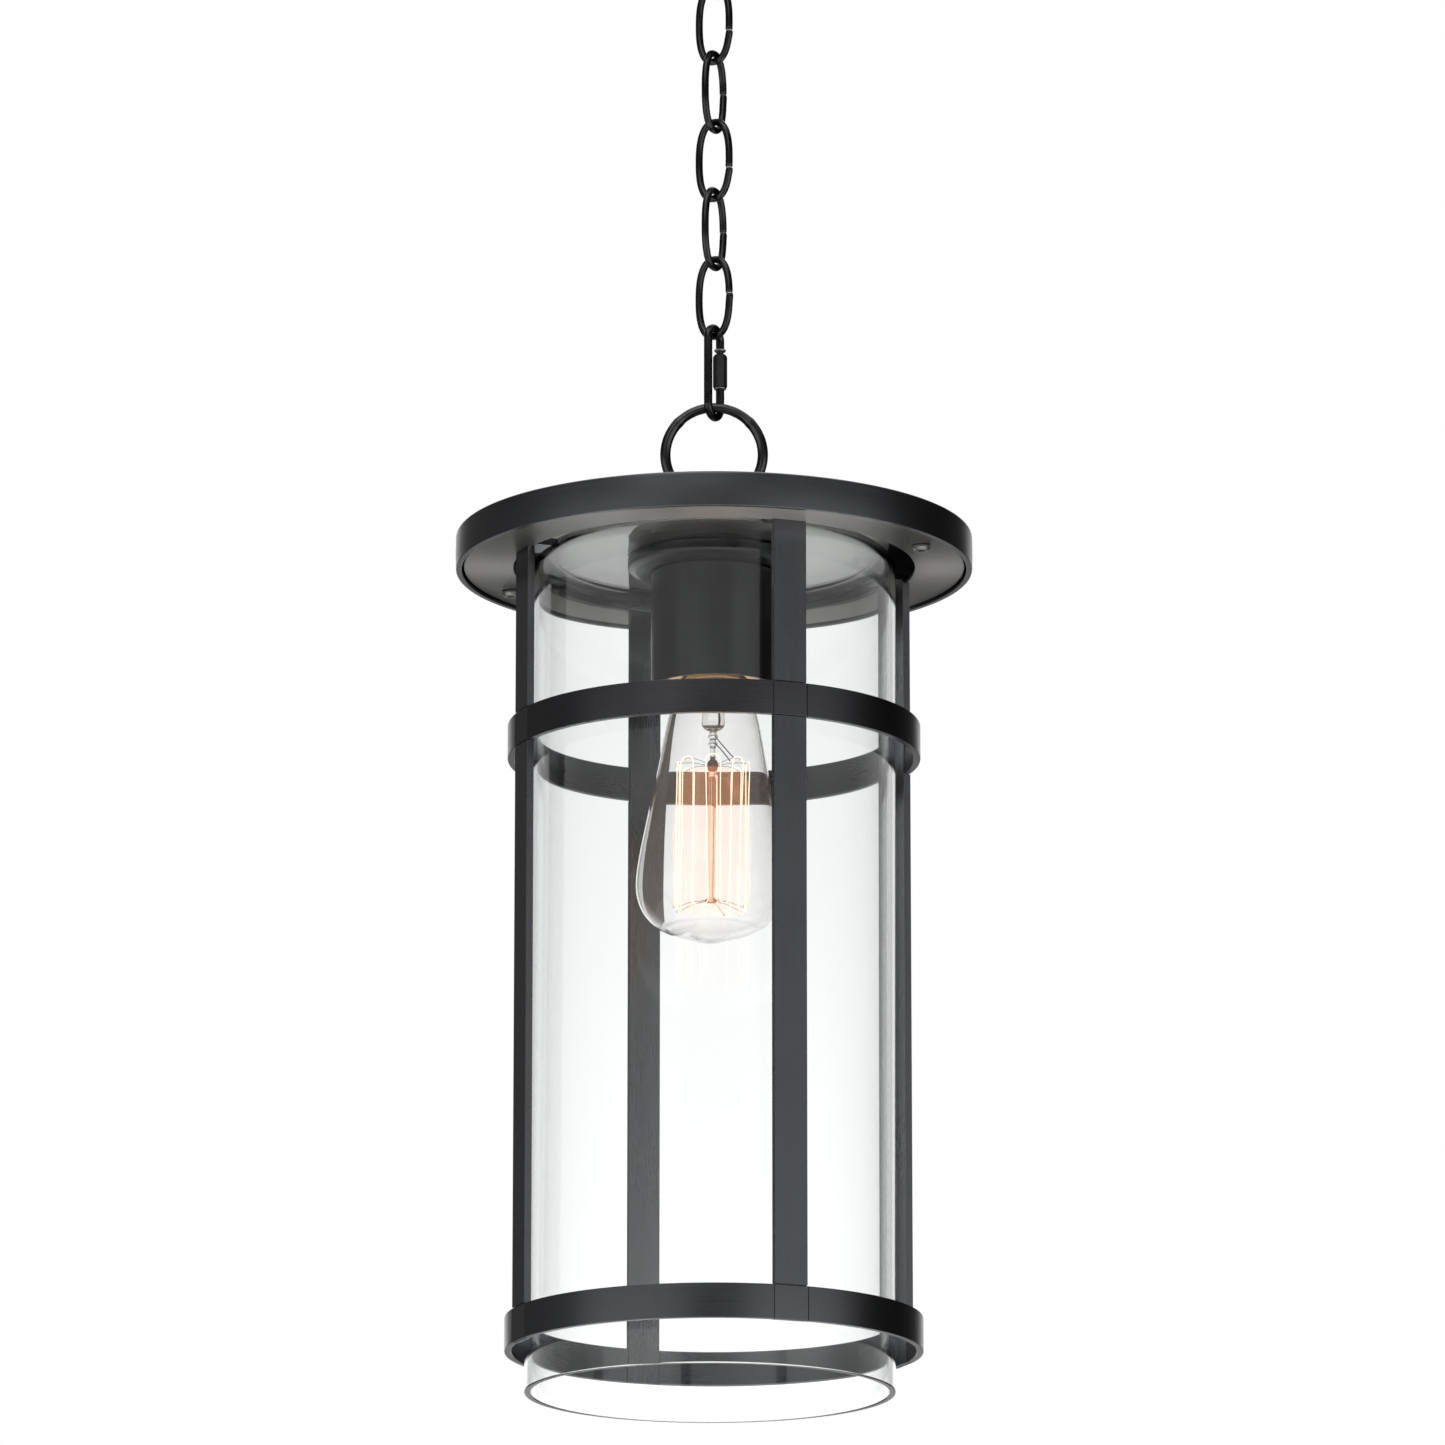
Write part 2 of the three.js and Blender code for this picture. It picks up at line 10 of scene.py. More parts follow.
import bmesh
import bpy
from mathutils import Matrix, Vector


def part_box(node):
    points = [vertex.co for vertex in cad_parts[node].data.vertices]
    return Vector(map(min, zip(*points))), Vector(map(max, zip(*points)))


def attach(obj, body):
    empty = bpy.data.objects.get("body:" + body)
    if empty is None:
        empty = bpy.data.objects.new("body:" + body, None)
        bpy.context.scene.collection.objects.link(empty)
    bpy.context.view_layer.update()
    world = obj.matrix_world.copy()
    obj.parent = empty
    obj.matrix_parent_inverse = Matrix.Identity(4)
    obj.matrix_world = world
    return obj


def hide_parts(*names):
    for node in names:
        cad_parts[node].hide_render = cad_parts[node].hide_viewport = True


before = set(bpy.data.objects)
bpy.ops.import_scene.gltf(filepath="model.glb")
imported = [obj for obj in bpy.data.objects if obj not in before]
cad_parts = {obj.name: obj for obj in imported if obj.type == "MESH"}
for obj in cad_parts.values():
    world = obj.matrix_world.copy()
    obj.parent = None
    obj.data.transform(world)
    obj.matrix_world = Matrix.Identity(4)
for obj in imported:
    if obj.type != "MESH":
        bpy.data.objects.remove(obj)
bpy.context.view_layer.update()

MM = 0.001
scene = bpy.context.scene


def low(node):
    """The low corner of a node's box."""
    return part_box(node)[0] / MM


def high(node):
    """The high corner of a node's box."""
    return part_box(node)[1] / MM


def plan_middle(node):
    """The x and y of the middle of a node's box."""
    lo, hi = low(node), high(node)
    return (lo.x + hi.x) / 2, (lo.y + hi.y) / 2


def repaint(node, material):
    """Gives a CAD solid that stays as it is its look."""
    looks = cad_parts[node].data.materials
    looks.clear()
    looks.append(material)


# ---- camera ----

camera = bpy.data.objects.new("camera", bpy.data.cameras.new("camera"))
scene.collection.objects.link(camera)
scene.camera = camera
camera.data.sensor_width = 36
camera.data.lens = 225.3
camera.location = (0.00375, -3.8961, -1.3401)
camera.rotation_euler = (radians(90 + 13.59), 0, 0)


# ---- mesh helpers ----


def mesh_object(name, verts, faces):
    """A mesh from points in millimetres."""
    mesh = bpy.data.meshes.new(name)
    mesh.from_pydata([Vector(v) * MM for v in verts], [], faces)
    bm = bmesh.new()
    bm.from_mesh(mesh)
    bmesh.ops.remove_doubles(bm, verts=bm.verts, dist=1e-7)
    bmesh.ops.recalc_face_normals(bm, faces=bm.faces)
    bm.to_mesh(mesh)
    bm.free()
    obj = bpy.data.objects.new(name, mesh)
    scene.collection.objects.link(obj)
    return obj


def settle(obj):
    """Applies the modifiers."""
    graph = bpy.context.evaluated_depsgraph_get()
    mesh = bpy.data.meshes.new_from_object(obj.evaluated_get(graph), depsgraph=graph)
    obj.modifiers.clear()
    old, obj.data = obj.data, mesh
    bpy.data.meshes.remove(old)
    return obj


def combine(obj, operation, *others):
    """Joins or cuts obj with the others, which are used up."""
    for other in others:
        step = obj.modifiers.new(operation, "BOOLEAN")
        step.operation, step.object, step.solver = operation, other, "EXACT"
    settle(obj)
    for other in others:
        bpy.data.objects.remove(other)
    return obj


def cut(obj, *tools):
    return combine(obj, "DIFFERENCE", *tools)


def soften(obj, width, segments, angle=60):
    """Rounds the edges that are sharper than angle."""
    bevel = obj.modifiers.new("bevel", "BEVEL")
    bevel.width, bevel.segments = width * MM, segments
    bevel.limit_method, bevel.angle_limit = "ANGLE", radians(angle)
    bevel.use_clamp_overlap = True
    return settle(obj)


def piece(obj, body, slot, material, *nodes, sharp=35):
    """Shades obj, paints it, and makes it stand for its CAD nodes."""
    obj.data.shade_smooth()
    obj.data.set_sharp_from_angle(angle=radians(sharp))
    even = obj.modifiers.new("normals", "WEIGHTED_NORMAL")
    even.keep_sharp, even.weight = True, 100
    settle(obj)
    obj.data.materials.clear()
    obj.data.materials.append(material)
    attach(obj, body)
    if nodes:
        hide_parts(*nodes)
    return obj


def rounded(corners, steps, closed=True):
    """Points of an outline whose corners (x, y, radius) become arcs."""
    out = []
    for i, (x, y, radius) in enumerate(corners):
        here = Vector((x, y))
        if radius <= 0 or (not closed and i in (0, len(corners) - 1)):
            out.append((x, y))
            continue
        before = Vector(corners[i - 1][:2]) - here
        after = Vector(corners[(i + 1) % len(corners)][:2]) - here
        half = before.angle(after) / 2
        reach = min(radius / math.tan(half), before.length * 0.49, after.length * 0.49)
        bisector = (before.normalized() + after.normalized()).normalized()
        centre = here + bisector * (reach / cos(half))
        start = here + before.normalized() * reach - centre
        end = here + after.normalized() * reach - centre
        first = math.atan2(start.y, start.x)
        turn = (math.atan2(end.y, end.x) - first + pi) % tau - pi
        for k in range(steps + 1):
            a = first + turn * k / steps
            out.append((centre.x + start.length * cos(a), centre.y + start.length * sin(a)))
    return out


def smooth_curve(points, steps):
    """Catmull-Rom curve through the points."""
    pts = [Vector(p) for p in points]
    pts = [pts[0] * 2 - pts[1]] + pts + [pts[-1] * 2 - pts[-2]]
    out = []
    for a, b, c, d in zip(pts, pts[1:], pts[2:], pts[3:]):
        for k in range(steps):
            t = k / steps
            straight = 2 * b + (c - a) * t
            bent = (2 * a - 5 * b + 4 * c - d) * t**2 + (3 * b - a - 3 * c + d) * t**3
            out.append(0.5 * (straight + bent))
    out.append(pts[-2])
    return [tuple(p) for p in out]


def skin(rings, closed):
    """Faces between neighbouring rings of point numbers. A ring may be one point, repeated."""
    faces = []
    for one, two in zip(rings, rings[1:] + (rings[:1] if closed else [])):
        for k in range(len(one)):
            m = (k + 1) % len(one)
            corners = [one[k], one[m], two[m], two[k]]
            face = [c for i, c in enumerate(corners) if c not in corners[:i]]
            if len(face) > 2:
                faces.append(face)
    return faces


def lathe(name, profile, segments=128, at=(0, 0), closed=True, radius=None):
    """Turns (r, z) points about an upright axis. radius(r, z, angle) may vary the radius."""
    verts, rows = [], []
    for r, z in profile:
        if r < 1e-6:
            rows.append([len(verts)] * segments)
            verts.append((at[0], at[1], z))
            continue
        rows.append(list(range(len(verts), len(verts) + segments)))
        for k in range(segments):
            a = tau * k / segments
            rr = radius(r, z, a) if radius else r
            verts.append((at[0] + rr * sin(a), at[1] - rr * cos(a), z))
    return mesh_object(name, verts, skin(rows, closed))


def pole(name, radius, bottom, top, at=(0, 0)):
    """A plain upright rod, used as a cutting tool."""
    return lathe(name, [(0, bottom), (radius, bottom), (radius, top), (0, top)], 64, at, False)


def block(name, size, centre, turn):
    """A box turned about the frame's upright axis, in degrees."""
    a = radians(turn)
    verts = []
    for k in range(8):
        x = centre[0] + size[0] * (0.5 if k & 1 else -0.5)
        y = centre[1] + size[1] * (0.5 if k & 2 else -0.5)
        z = centre[2] + size[2] * (0.5 if k & 4 else -0.5)
        verts.append((x * cos(a) - y * sin(a), x * sin(a) + y * cos(a), z))
    faces = [(0, 1, 3, 2), (4, 5, 7, 6), (0, 1, 5, 4), (2, 3, 7, 6), (0, 2, 6, 4), (1, 3, 7, 5)]
    return mesh_object(name, verts, faces)


def tube(name, points, radius, sides, closed=False, tip=0.0):
    """A round wire along points. radius is a number or a function of (index, angle). tip rounds
    the two ends over that length."""
    pts = [Vector(p) for p in points]
    n = len(pts)
    size = radius if callable(radius) else lambda i, a: radius
    tangents = []
    for i in range(n):
        before = pts[i - 1] if closed or i else pts[0]
        after = pts[(i + 1) % n] if closed or i < n - 1 else pts[-1]
        tangents.append((after - before).normalized())
    normal = tangents[0].orthogonal().normalized()
    frames = []
    for i in range(n):
        if i:
            normal = tangents[i - 1].rotation_difference(tangents[i]) @ normal
        normal = (normal - tangents[i] * normal.dot(tangents[i])).normalized()
        frames.append((pts[i], normal.copy(), tangents[i].cross(normal)))
    twist = 0.0
    if closed:
        last = tangents[-1].rotation_difference(tangents[0]) @ normal
        twist = math.atan2(last.dot(frames[0][2]), last.dot(frames[0][1]))
    stations = [(*place, 1.0, i) for i, place in enumerate(frames)]
    if tip and not closed:
        start, end = stations[0], stations[-1]
        bend = [(0.0, 0.0), (0.3, 0.71), (1.0, 1.0)]
        head = [(start[0] + tangents[0] * tip * (t - 1), *start[1:3], s, 0) for t, s in bend]
        tail = [
            (end[0] - tangents[-1] * tip * (t - 1), *end[1:3], s, n - 1) for t, s in bend[::-1]
        ]
        stations = head[:2] + stations + tail[1:]
    verts, rings = [], []
    for p, u, v, scale, i in stations:
        ring = []
        for k in range(sides):
            a = tau * k / sides
            b = a - twist * i / n
            r = max(size(i, a) * scale, 1e-4)
            ring.append(len(verts))
            verts.append(p + (u * cos(b) + v * sin(b)) * r)
        rings.append(ring)
    faces = skin(rings, closed)
    if not closed:
        faces += [tuple(rings[0]), tuple(rings[-1])]
    return mesh_object(name, verts, faces)


def turned(point, degrees):
    """A point turned about the frame's upright axis."""
    a = radians(degrees)
    x, y, z = point
    return (x * cos(a) - y * sin(a), x * sin(a) + y * cos(a), z)


# ---- material helpers ----


def tune(material, **sockets):
    """Sets plain values on a material's own shader."""
    shader = material.node_tree.nodes["Principled BSDF"]
    for key, value in sockets.items():
        shader.inputs[key.replace("_", " ")].default_value = value
    return material


class Paint:
    """A Principled material and the few nodes that its patterns need."""

    def __init__(self, name, **sockets):
        self.material = bpy.data.materials.new(name)
        self.material.use_nodes = True
        self.tree = self.material.node_tree
        self.shader = self.tree.nodes["Principled BSDF"]
        tune(self.material, **sockets)
        self.place = self.node("ShaderNodeTexCoord").outputs["Object"]

    def node(self, kind, links=None, **settings):
        made = self.tree.nodes.new(kind)
        for key, value in settings.items():
            setattr(made, key, value)
        for key, value in (links or {}).items():
            if isinstance(value, bpy.types.NodeSocket):
                self.tree.links.new(value, made.inputs[key])
            else:
                made.inputs[key].default_value = value
        return made

    def link(self, output, socket):
        self.tree.links.new(output, self.shader.inputs[socket])

    def stretched(self, scale):
        """The place in the frame, in metres, times scale along each axis."""
        return self.node("ShaderNodeMapping", {"Vector": self.place, "Scale": scale}).outputs[0]

    def polar(self, around, across):
        """Rings about the upright axis: the distance from it times across, and a slow change
        along the ring."""
        split = self.node("ShaderNodeSeparateXYZ", {"Vector": self.place})
        flat = self.node(
            "ShaderNodeCombineXYZ", {"X": split.outputs["X"], "Y": split.outputs["Y"]}
        )
        length = self.node("ShaderNodeVectorMath", {0: flat.outputs[0]}, operation="LENGTH")
        far = self.math("MULTIPLY", length.outputs["Value"], across)
        side = self.math("MULTIPLY", split.outputs["X"], around)
        depth = self.math("MULTIPLY", split.outputs["Y"], around)
        return self.node("ShaderNodeCombineXYZ", {"X": far, "Y": side, "Z": depth}).outputs[0]

    def math(self, operation, a, b):
        return self.node("ShaderNodeMath", {0: a, 1: b}, operation=operation).outputs[0]

    def noise(self, place, scale=1.0, detail=3.0, rough=0.5):
        return self.node(
            "ShaderNodeTexNoise",
            {"Vector": place, "Scale": scale, "Detail": detail, "Roughness": rough},
        ).outputs["Fac"]

    def between(self, value, first, last, start=0.3, end=0.7):
        """Value from start to end becomes a number from first to last."""
        return self.node(
            "ShaderNodeMapRange", {"Value": value, 1: start, 2: end, 3: first, 4: last}
        ).outputs[0]

    def mix(self, value, first, last):
        made = self.node("ShaderNodeMix", data_type="RGBA")
        made.inputs[6].default_value = (*first, 1)
        made.inputs[7].default_value = (*last, 1)
        self.tree.links.new(value, made.inputs[0])
        return made.outputs[2]

    def blend(self, one, other, share):
        """A share of one pattern and the rest of the other."""
        return self.math(
            "ADD", self.math("MULTIPLY", one, share), self.math("MULTIPLY", other, 1 - share)
        )

    def tint(self, pattern, tone, darkest, socket="Base Color"):
        """Colours the socket from tone down to its darkest shade."""
        shade = tuple(c * darkest for c in tone)
        self.link(self.mix(self.between(pattern, 0, 1), shade, tone), socket)

    def bump(self, height, strength, distance, before=None):
        links = {"Height": height, "Strength": strength, "Distance": distance}
        if before is not None:
            links["Normal"] = before
        return self.node("ShaderNodeBump", links).outputs[0]


def black_steel(name, grain, rough=(0.24, 0.34), tone=(0.235, 0.240, 0.256)):
    """Black brushed finish. grain stretches the brushing."""
    paint = Paint(name, Metallic=1.0)
    cloud = paint.noise(paint.place, 22, 4, 0.6)
    lines = paint.noise(paint.stretched(grain), 1, 2, 0.7)
    both = paint.blend(cloud, lines, 0.6)
    paint.tint(both, tone, 0.86)
    paint.link(paint.between(both, *rough), "Roughness")
    fine = paint.noise(paint.place, 1600, 2)
    peel = paint.bump(fine, 0.10, 0.00005)
    paint.link(paint.bump(lines, 0.10, 0.00005, peel), "Normal")
    return paint.material


def blackened(name, tone=(0.135, 0.128, 0.127), rough=(0.16, 0.24)):
    """Dark oiled wire with a brown cast where it is rubbed."""
    paint = Paint(name, Metallic=1.0)
    cloud = paint.noise(paint.place, 110, 2, 0.4)
    rub = paint.noise(paint.place, 45, 2, 0.5)
    paint.tint(paint.blend(cloud, rub, 0.5), tone, 0.55)
    paint.link(paint.between(cloud, *rough), "Roughness")
    paint.link(paint.bump(cloud, 0.02, 0.00005), "Normal")
    return paint.material


def bright(name, tone, rough, ring=None, anisotropy=0.0):
    """Bare metal, plain or brushed in rings about the upright axis."""
    paint = Paint(name, Metallic=1.0, Anisotropic=anisotropy)
    if ring:
        lines = paint.noise(paint.polar(*ring), 1, 3, 0.7)
    else:
        lines = paint.noise(paint.stretched((300, 300, 300)), 1, 3, 0.7)
    cloud = paint.noise(paint.place, 30, 3, 0.5)
    both = paint.blend(cloud, lines, 0.4)
    paint.tint(both, tone, 0.8)
    paint.link(paint.between(both, *rough), "Roughness")
    paint.link(paint.bump(lines, 0.10, 0.00003), "Normal")
    if anisotropy:
        tune(paint.material, Anisotropic_Rotation=0.25)
        tangent = paint.node("ShaderNodeTangent", direction_type="RADIAL", axis="Z")
        paint.link(tangent.outputs[0], "Tangent")
    return paint.material


def clear(name, tint, wave=0.0):
    """Clear glass, with a faint waviness."""
    paint = Paint(name, IOR=1.5, Roughness=0.0, Transmission_Weight=1.0, Base_Color=(*tint, 1))
    swell = paint.noise(paint.stretched((14, 14, 5)), 1, 2, 0.4)
    paint.link(paint.bump(swell, wave, 0.004), "Normal")
    return paint.material


def dull(name, tone, rough, specular=0.5, scale=400):
    """Anything that isn't metal or clear glass."""
    paint = Paint(name, Specular_IOR_Level=specular)
    cloud = paint.noise(paint.place, scale, 4, 0.6)
    paint.tint(cloud, tone, 0.85)
    paint.link(paint.between(cloud, *rough), "Roughness")
    paint.link(paint.bump(cloud, 0.15, 0.0001), "Normal")
    return paint.material


def hot(name, tone, strength):
    """Glowing wire, and the painted glow that fills the cage."""
    cold = (0.05, 0.03, 0.02, 1)
    paint = Paint(name, Roughness=0.6, Base_Color=cold, Emission_Strength=strength)
    paint.tint(paint.noise(paint.place, 90, 2), tone, 0.9, "Emission Color")
    return paint.material


# how the brushing is stretched: round the axis, up the posts, and in rings on a flat face
ROUND = (25, 25, 2600)
UPRIGHT = (2200, 2200, 14)
RINGS = (14, 2600)
post_black = black_steel("post_black", UPRIGHT)
band_black = black_steel("band_black", ROUND)
# the mid band's finish is the band's, only darker: painted shade
mid_black = black_steel("mid_black", ROUND, tone=(0.175, 0.178, 0.190))
rim_black = black_steel("rim_black", ROUND, rough=(0.26, 0.36))
cup_black = black_steel("cup_black", ROUND, rough=(0.26, 0.38), tone=(0.10, 0.102, 0.108))
ring_black = black_steel("ring_black", (60, 60, 60), rough=(0.18, 0.26), tone=(0.135, 0.132, 0.138))
wire_black = blackened("wire_black")
nut_black = blackened("nut_black", tone=(0.16, 0.16, 0.165), rough=(0.48, 0.6))
bronze = bright("bronze", (0.30, 0.26, 0.21), rough=(0.3, 0.42))
cut_steel = bright("cut_steel", (0.75, 0.72, 0.68), rough=(0.25, 0.4))
zinc = bright("zinc", (0.42, 0.42, 0.41), rough=(0.34, 0.46))
plate_steel = bright("plate_steel", (0.56, 0.55, 0.53), (0.36, 0.42), ring=RINGS, anisotropy=1.0)
disc_steel = bright("disc_steel", (0.88, 0.88, 0.86), (0.42, 0.52), ring=RINGS, anisotropy=0.75)
brass = bright("brass", (0.72, 0.52, 0.24), rough=(0.25, 0.38))
base_metal = bright("base_metal", (0.70, 0.66, 0.58), rough=(0.2, 0.3))
porcelain = dull("porcelain", (0.80, 0.77, 0.70), (0.15, 0.28), scale=120)
rubber = dull("rubber", (0.014, 0.014, 0.014), (0.6, 0.8), 0.3)
insulator = dull("insulator", (0.02, 0.018, 0.016), (0.3, 0.45))
lantern_glass = clear("lantern_glass", (0.975, 0.985, 0.980), wave=0.003)
# the bulb's glass gives off a faint warm light of its own: a painted glow, standing in for the light
# that the glass catches and reflects
lamp_glass = tune(clear("lamp_glass", (0.985, 0.985, 0.985), wave=0.002),
                  Emission_Color=(1, 0.80, 0.68, 1), Emission_Strength=0.014)
stem_glass = clear("stem_glass", (0.93, 0.93, 0.92))
hot_wire = hot("hot_wire", (1.0, 0.80, 0.60), 1.9)
# the glass rod gives off a faint warm light of its own: painted glow, standing in for the filament's
# light on it
rod_glass = tune(clear("rod_glass", (0.97, 0.80, 0.68)),
                 Emission_Color=(1, 0.42, 0.22, 1), Emission_Strength=0.05)
# the painted glow in the cage: nearly see-through, with warm light of its own
painted_cage_glow = tune(hot("painted_cage_glow", (1.0, 0.30, 0.01), 4.6), Alpha=0.03, Specular_IOR_Level=0.0)
button_glass = dull("button_glass", (0.13, 0.030, 0.016), (0.12, 0.2))
lead_wire = bright("lead_wire", (0.10, 0.09, 0.085), rough=(0.3, 0.4))


# ---- chain ----


def along(points, stations, start, end):
    """Evenly spaced points from the distance start to the distance end along a polyline, and
    its whole length."""
    pts = [Vector(p) for p in points]
    reach = [0.0]
    for a, b in zip(pts, pts[1:]):
        reach.append(reach[-1] + (b - a).length)
    out, i = [], 0
    for k in range(stations):
        s = start + (end - start) * k / (stations - 1)
        while i < len(pts) - 2 and reach[i + 1] < s:
            i += 1
        t = (s - reach[i]) / (reach[i + 1] - reach[i])
        out.append(pts[i].lerp(pts[i + 1], t))
    return out, reach[-1]


def oval(width, length, power):
    """A closed oval in the X, Z plane that starts in the middle of its right leg."""
    points, steps = [], 720
    for k in range(steps + 1):
        a = tau * k / steps
        x, z = (math.copysign(abs(c) ** (2 / power), c) for c in (cos(a), sin(a)))
        points.append((width * x, 0, length * z))
    return points


LINK_WIRE = 3.3
LINK_HALF_WIDTH, LINK_SQUARENESS = 7.85, 2.45
CHAIN_TURN, CROSS_TURN = -30.8, 59.2
# how far up its leg each link's butt joint sits
SLIT_PLACE = (-4.4, 0.5, -4.6, 0.0, 1.0)
SLIT_HALF, SLIT_STEP = 0.25, 0.28


def chain_link(k):
    """A bent wire whose two ends don't quite line up."""
    node = f"chain_link_{k + 1}"
    bottom, top = low(node).z, high(node).z
    centre = (bottom + top) / 2
    half_length = (top - bottom - LINK_WIRE) / 2
    path = oval(LINK_HALF_WIDTH, half_length, LINK_SQUARENESS)
    total = along(path, 2, 0, 1)[1]
    first = total + SLIT_PLACE[k] + SLIT_HALF
    points, _ = along(path + path[1:] + path[1:], 97, first, first + total - 2 * SLIT_HALF)
    last = len(points) - 1
    radius = LINK_WIRE / 2
    placed = []
    for i, p in enumerate(points):
        near = math.exp(-(((last - i) / 3.0) ** 2))
        p.x += SLIT_STEP * near
        placed.append(turned((p.x, p.y, p.z + centre), CROSS_TURN if k % 2 else CHAIN_TURN))

    def size(i, a):
        return radius - 0.12 if i in (0, last) else radius

    link = tube(node, placed, size, sides=20)
    piece(link, f"link_{k + 1}", "blackened_wire", wire_black, node, sharp=50)
    if k % 2 == 0:
        link.data.materials.append(cut_steel)
        for face in link.data.polygons:
            if len(face.vertices) > 4:
                face.material_index = 1


for k in range(len(SLIT_PLACE)):
    chain_link(k)


# ---- connector ----

CONNECTOR_WIRE, CONNECTOR_BEND = 3.4, 5.2
LEG_WIRE = 3.8


def connector():
    """A quick link: the bent wire with its open leg, the thread on that leg, and the nut."""
    bottom, top = low("connector_link").z, high("connector_link").z
    centre = (bottom + top) / 2
    straight = (top - bottom - CONNECTOR_WIRE) / 2 - CONNECTOR_BEND
    leg_start, leg_end = 11.6, -4.4
    points = [(CONNECTOR_BEND, 0, leg_start), (CONNECTOR_BEND, 0, straight)]
    for k in range(1, 25):
        a = pi * k / 24
        points.append((CONNECTOR_BEND * cos(a), 0, straight + CONNECTOR_BEND * sin(a)))
    for k in range(1, 12):
        points.append((-CONNECTOR_BEND, 0, straight - 2 * straight * k / 12))
    for k in range(25):
        a = pi * k / 24
        points.append((-CONNECTOR_BEND * cos(a), 0, -straight - CONNECTOR_BEND * sin(a)))
    points.append((CONNECTOR_BEND, 0, leg_end))
    placed = [turned((x, y, z + centre), CROSS_TURN) for x, y, z in points]
    wire = tube("connector_link", placed, LEG_WIRE / 2, sides=24, tip=0.4)
    piece(wire, "connector", "blackened_wire", wire_black, "connector_link", sharp=50)

    leg = turned((CONNECTOR_BEND, 0, 0), CROSS_TURN)[:2]
    pitch = 0.8

    def ridge(r, z, a):
        wave = cos(tau * (z / pitch) + a)
        return r + 0.16 * wave if r > 1.2 else r

    steps, radius = 90, 1.58
    bottom_z, top_z = centre + 3.0, centre + 12.6
    rows = [(radius, bottom_z + (top_z - bottom_z) * k / steps) for k in range(steps + 1)]
    profile = [(0, bottom_z - 0.3), (1.15, bottom_z - 0.3)] + rows + [(0, top_z)]
    thread = lathe("connector_thread", profile, 32, leg, False, ridge)
    piece(thread, "connector", "blackened_wire", bronze, sharp=60)

    nut_low, nut_high = low("connector_nut").z, high("connector_nut").z

    def hexagon(r, z, a):
        """Six flats on the wide part of the nut."""
        if r < 2.9:
            return r
        flat = 2.86 / cos((a + pi / 6) % (pi / 3) - pi / 6)
        return min(r, flat)

    bore = 2.05
    outline = [
        (bore, nut_low + 0.9), (2.6, nut_low + 0.7), (2.95, nut_low + 0.95), (3.2, nut_low + 1.5),
        (3.2, nut_low + 8), (3.2, nut_high - 4.0), (2.95, nut_high - 3.35), (2.5, nut_high - 2.75),
        (bore, nut_high - 2.75),
    ]
    sleeve = lathe("connector_nut", outline, 72, leg, True, hexagon)
    piece(sleeve, "nut", "blackened_wire", nut_black, "connector_nut", sharp=28)
    ring = rounded(
        [(bore, nut_low, 0.1), (2.75, nut_low, 0.3), (2.9, nut_low + 0.65, 0.2),
         (bore, nut_low + 0.65, 0.1)], 3
    )
    piece(lathe("connector_nut_ring", ring, 48, leg), "nut", "blackened_wire", cut_steel)
    lip = rounded(
        [(bore, nut_high - 1.5, 0.1), (2.6, nut_high - 1.1, 0.3), (2.7, nut_high - 0.5, 0.3),
         (bore, nut_high, 0.2)], 3
    )
    piece(lathe("connector_nut_lip", lip, 48, leg), "nut", "blackened_wire", cut_steel)


connector()


# ---- cap ----

CAP_Z = low("cap_shell").z
CAP_R = high("cap_shell").x
CAP_TOP = high("cap_shell").z
SHEET = 1.6
GROMMET_AT = plan_middle("cap_wire_grommet")
RIM_WALL, RIM_BULGE = 2.7, 0.13
PLATE_INNER, PLATE_OUTER = 89.4, 111.3
THREAD_HOLE, WIRE_HOLE = 5.05, 5.0
# how far the first post stands round from the camera's side, in degrees
CAGE_TURN = 21.4


def hang_ring():
    """The ring's wire thins where it rests in the connector, and it ends in a threaded foot."""
    top = high("hang_ring").z
    wire, radius = 4.7, 21.75
    centre = top - wire / 2 - radius
    count = 120
    points = []
    for k in range(count):
        a = tau * k / count
        points.append((radius * sin(a), 0, centre + radius * cos(a)))

    def size(i, a):
        off = min(i, count - i) * 360 / count
        seat = 1 / (1 + math.exp((off - 44) / 1.6)) * 0.30
        notch = 0.22 * math.exp(-(((off - 47) / 3.0) ** 2))
        ripple = 0.05 * sin(i * 1.3)
        return wire / 2 - (seat - notch + ripple * seat * 3) * 0.55

    ring = tube("hang_ring", points, size, sides=28, closed=True)
    base = CAP_TOP + 0.3
    foot = rounded(
        [(0, base, 0), (13, base, 0.4), (13, base + 3.4, 1.2), (9, base + 5.6, 2.5),
         (6.5, base + 11.6, 2.0), (5, base + 16.6, 1.5), (0, base + 16.6, 0)], 4, False
    )
    combine(ring, "UNION", lathe("ring_foot", foot, 96, closed=False))
    cut(ring, pole("ring_hole", THREAD_HOLE, base - 5, base + 12))
    piece(ring, "lantern", "black_steel", ring_black, "hang_ring", sharp=45)


def grommet(name, at, body, sheet_low, sheet_high):
    """A rubber sleeve that grips the sheet between two lips."""
    bottom, top = low(name).z, high(name).z
    outline = rounded(
        [(2.6, bottom, 0.4), (6.5, bottom, 0.6), (6.5, sheet_low - 0.3, 0.1),
         (4.7, sheet_low - 0.3, 0), (4.7, sheet_high + 0.3, 0), (6.5, sheet_high + 0.3, 0.1),
         (6.5, top, 0.6), (2.6, top, 0.4)], 3
    )
    piece(lathe(name, outline, 64, at), body, "rubber", rubber, name)


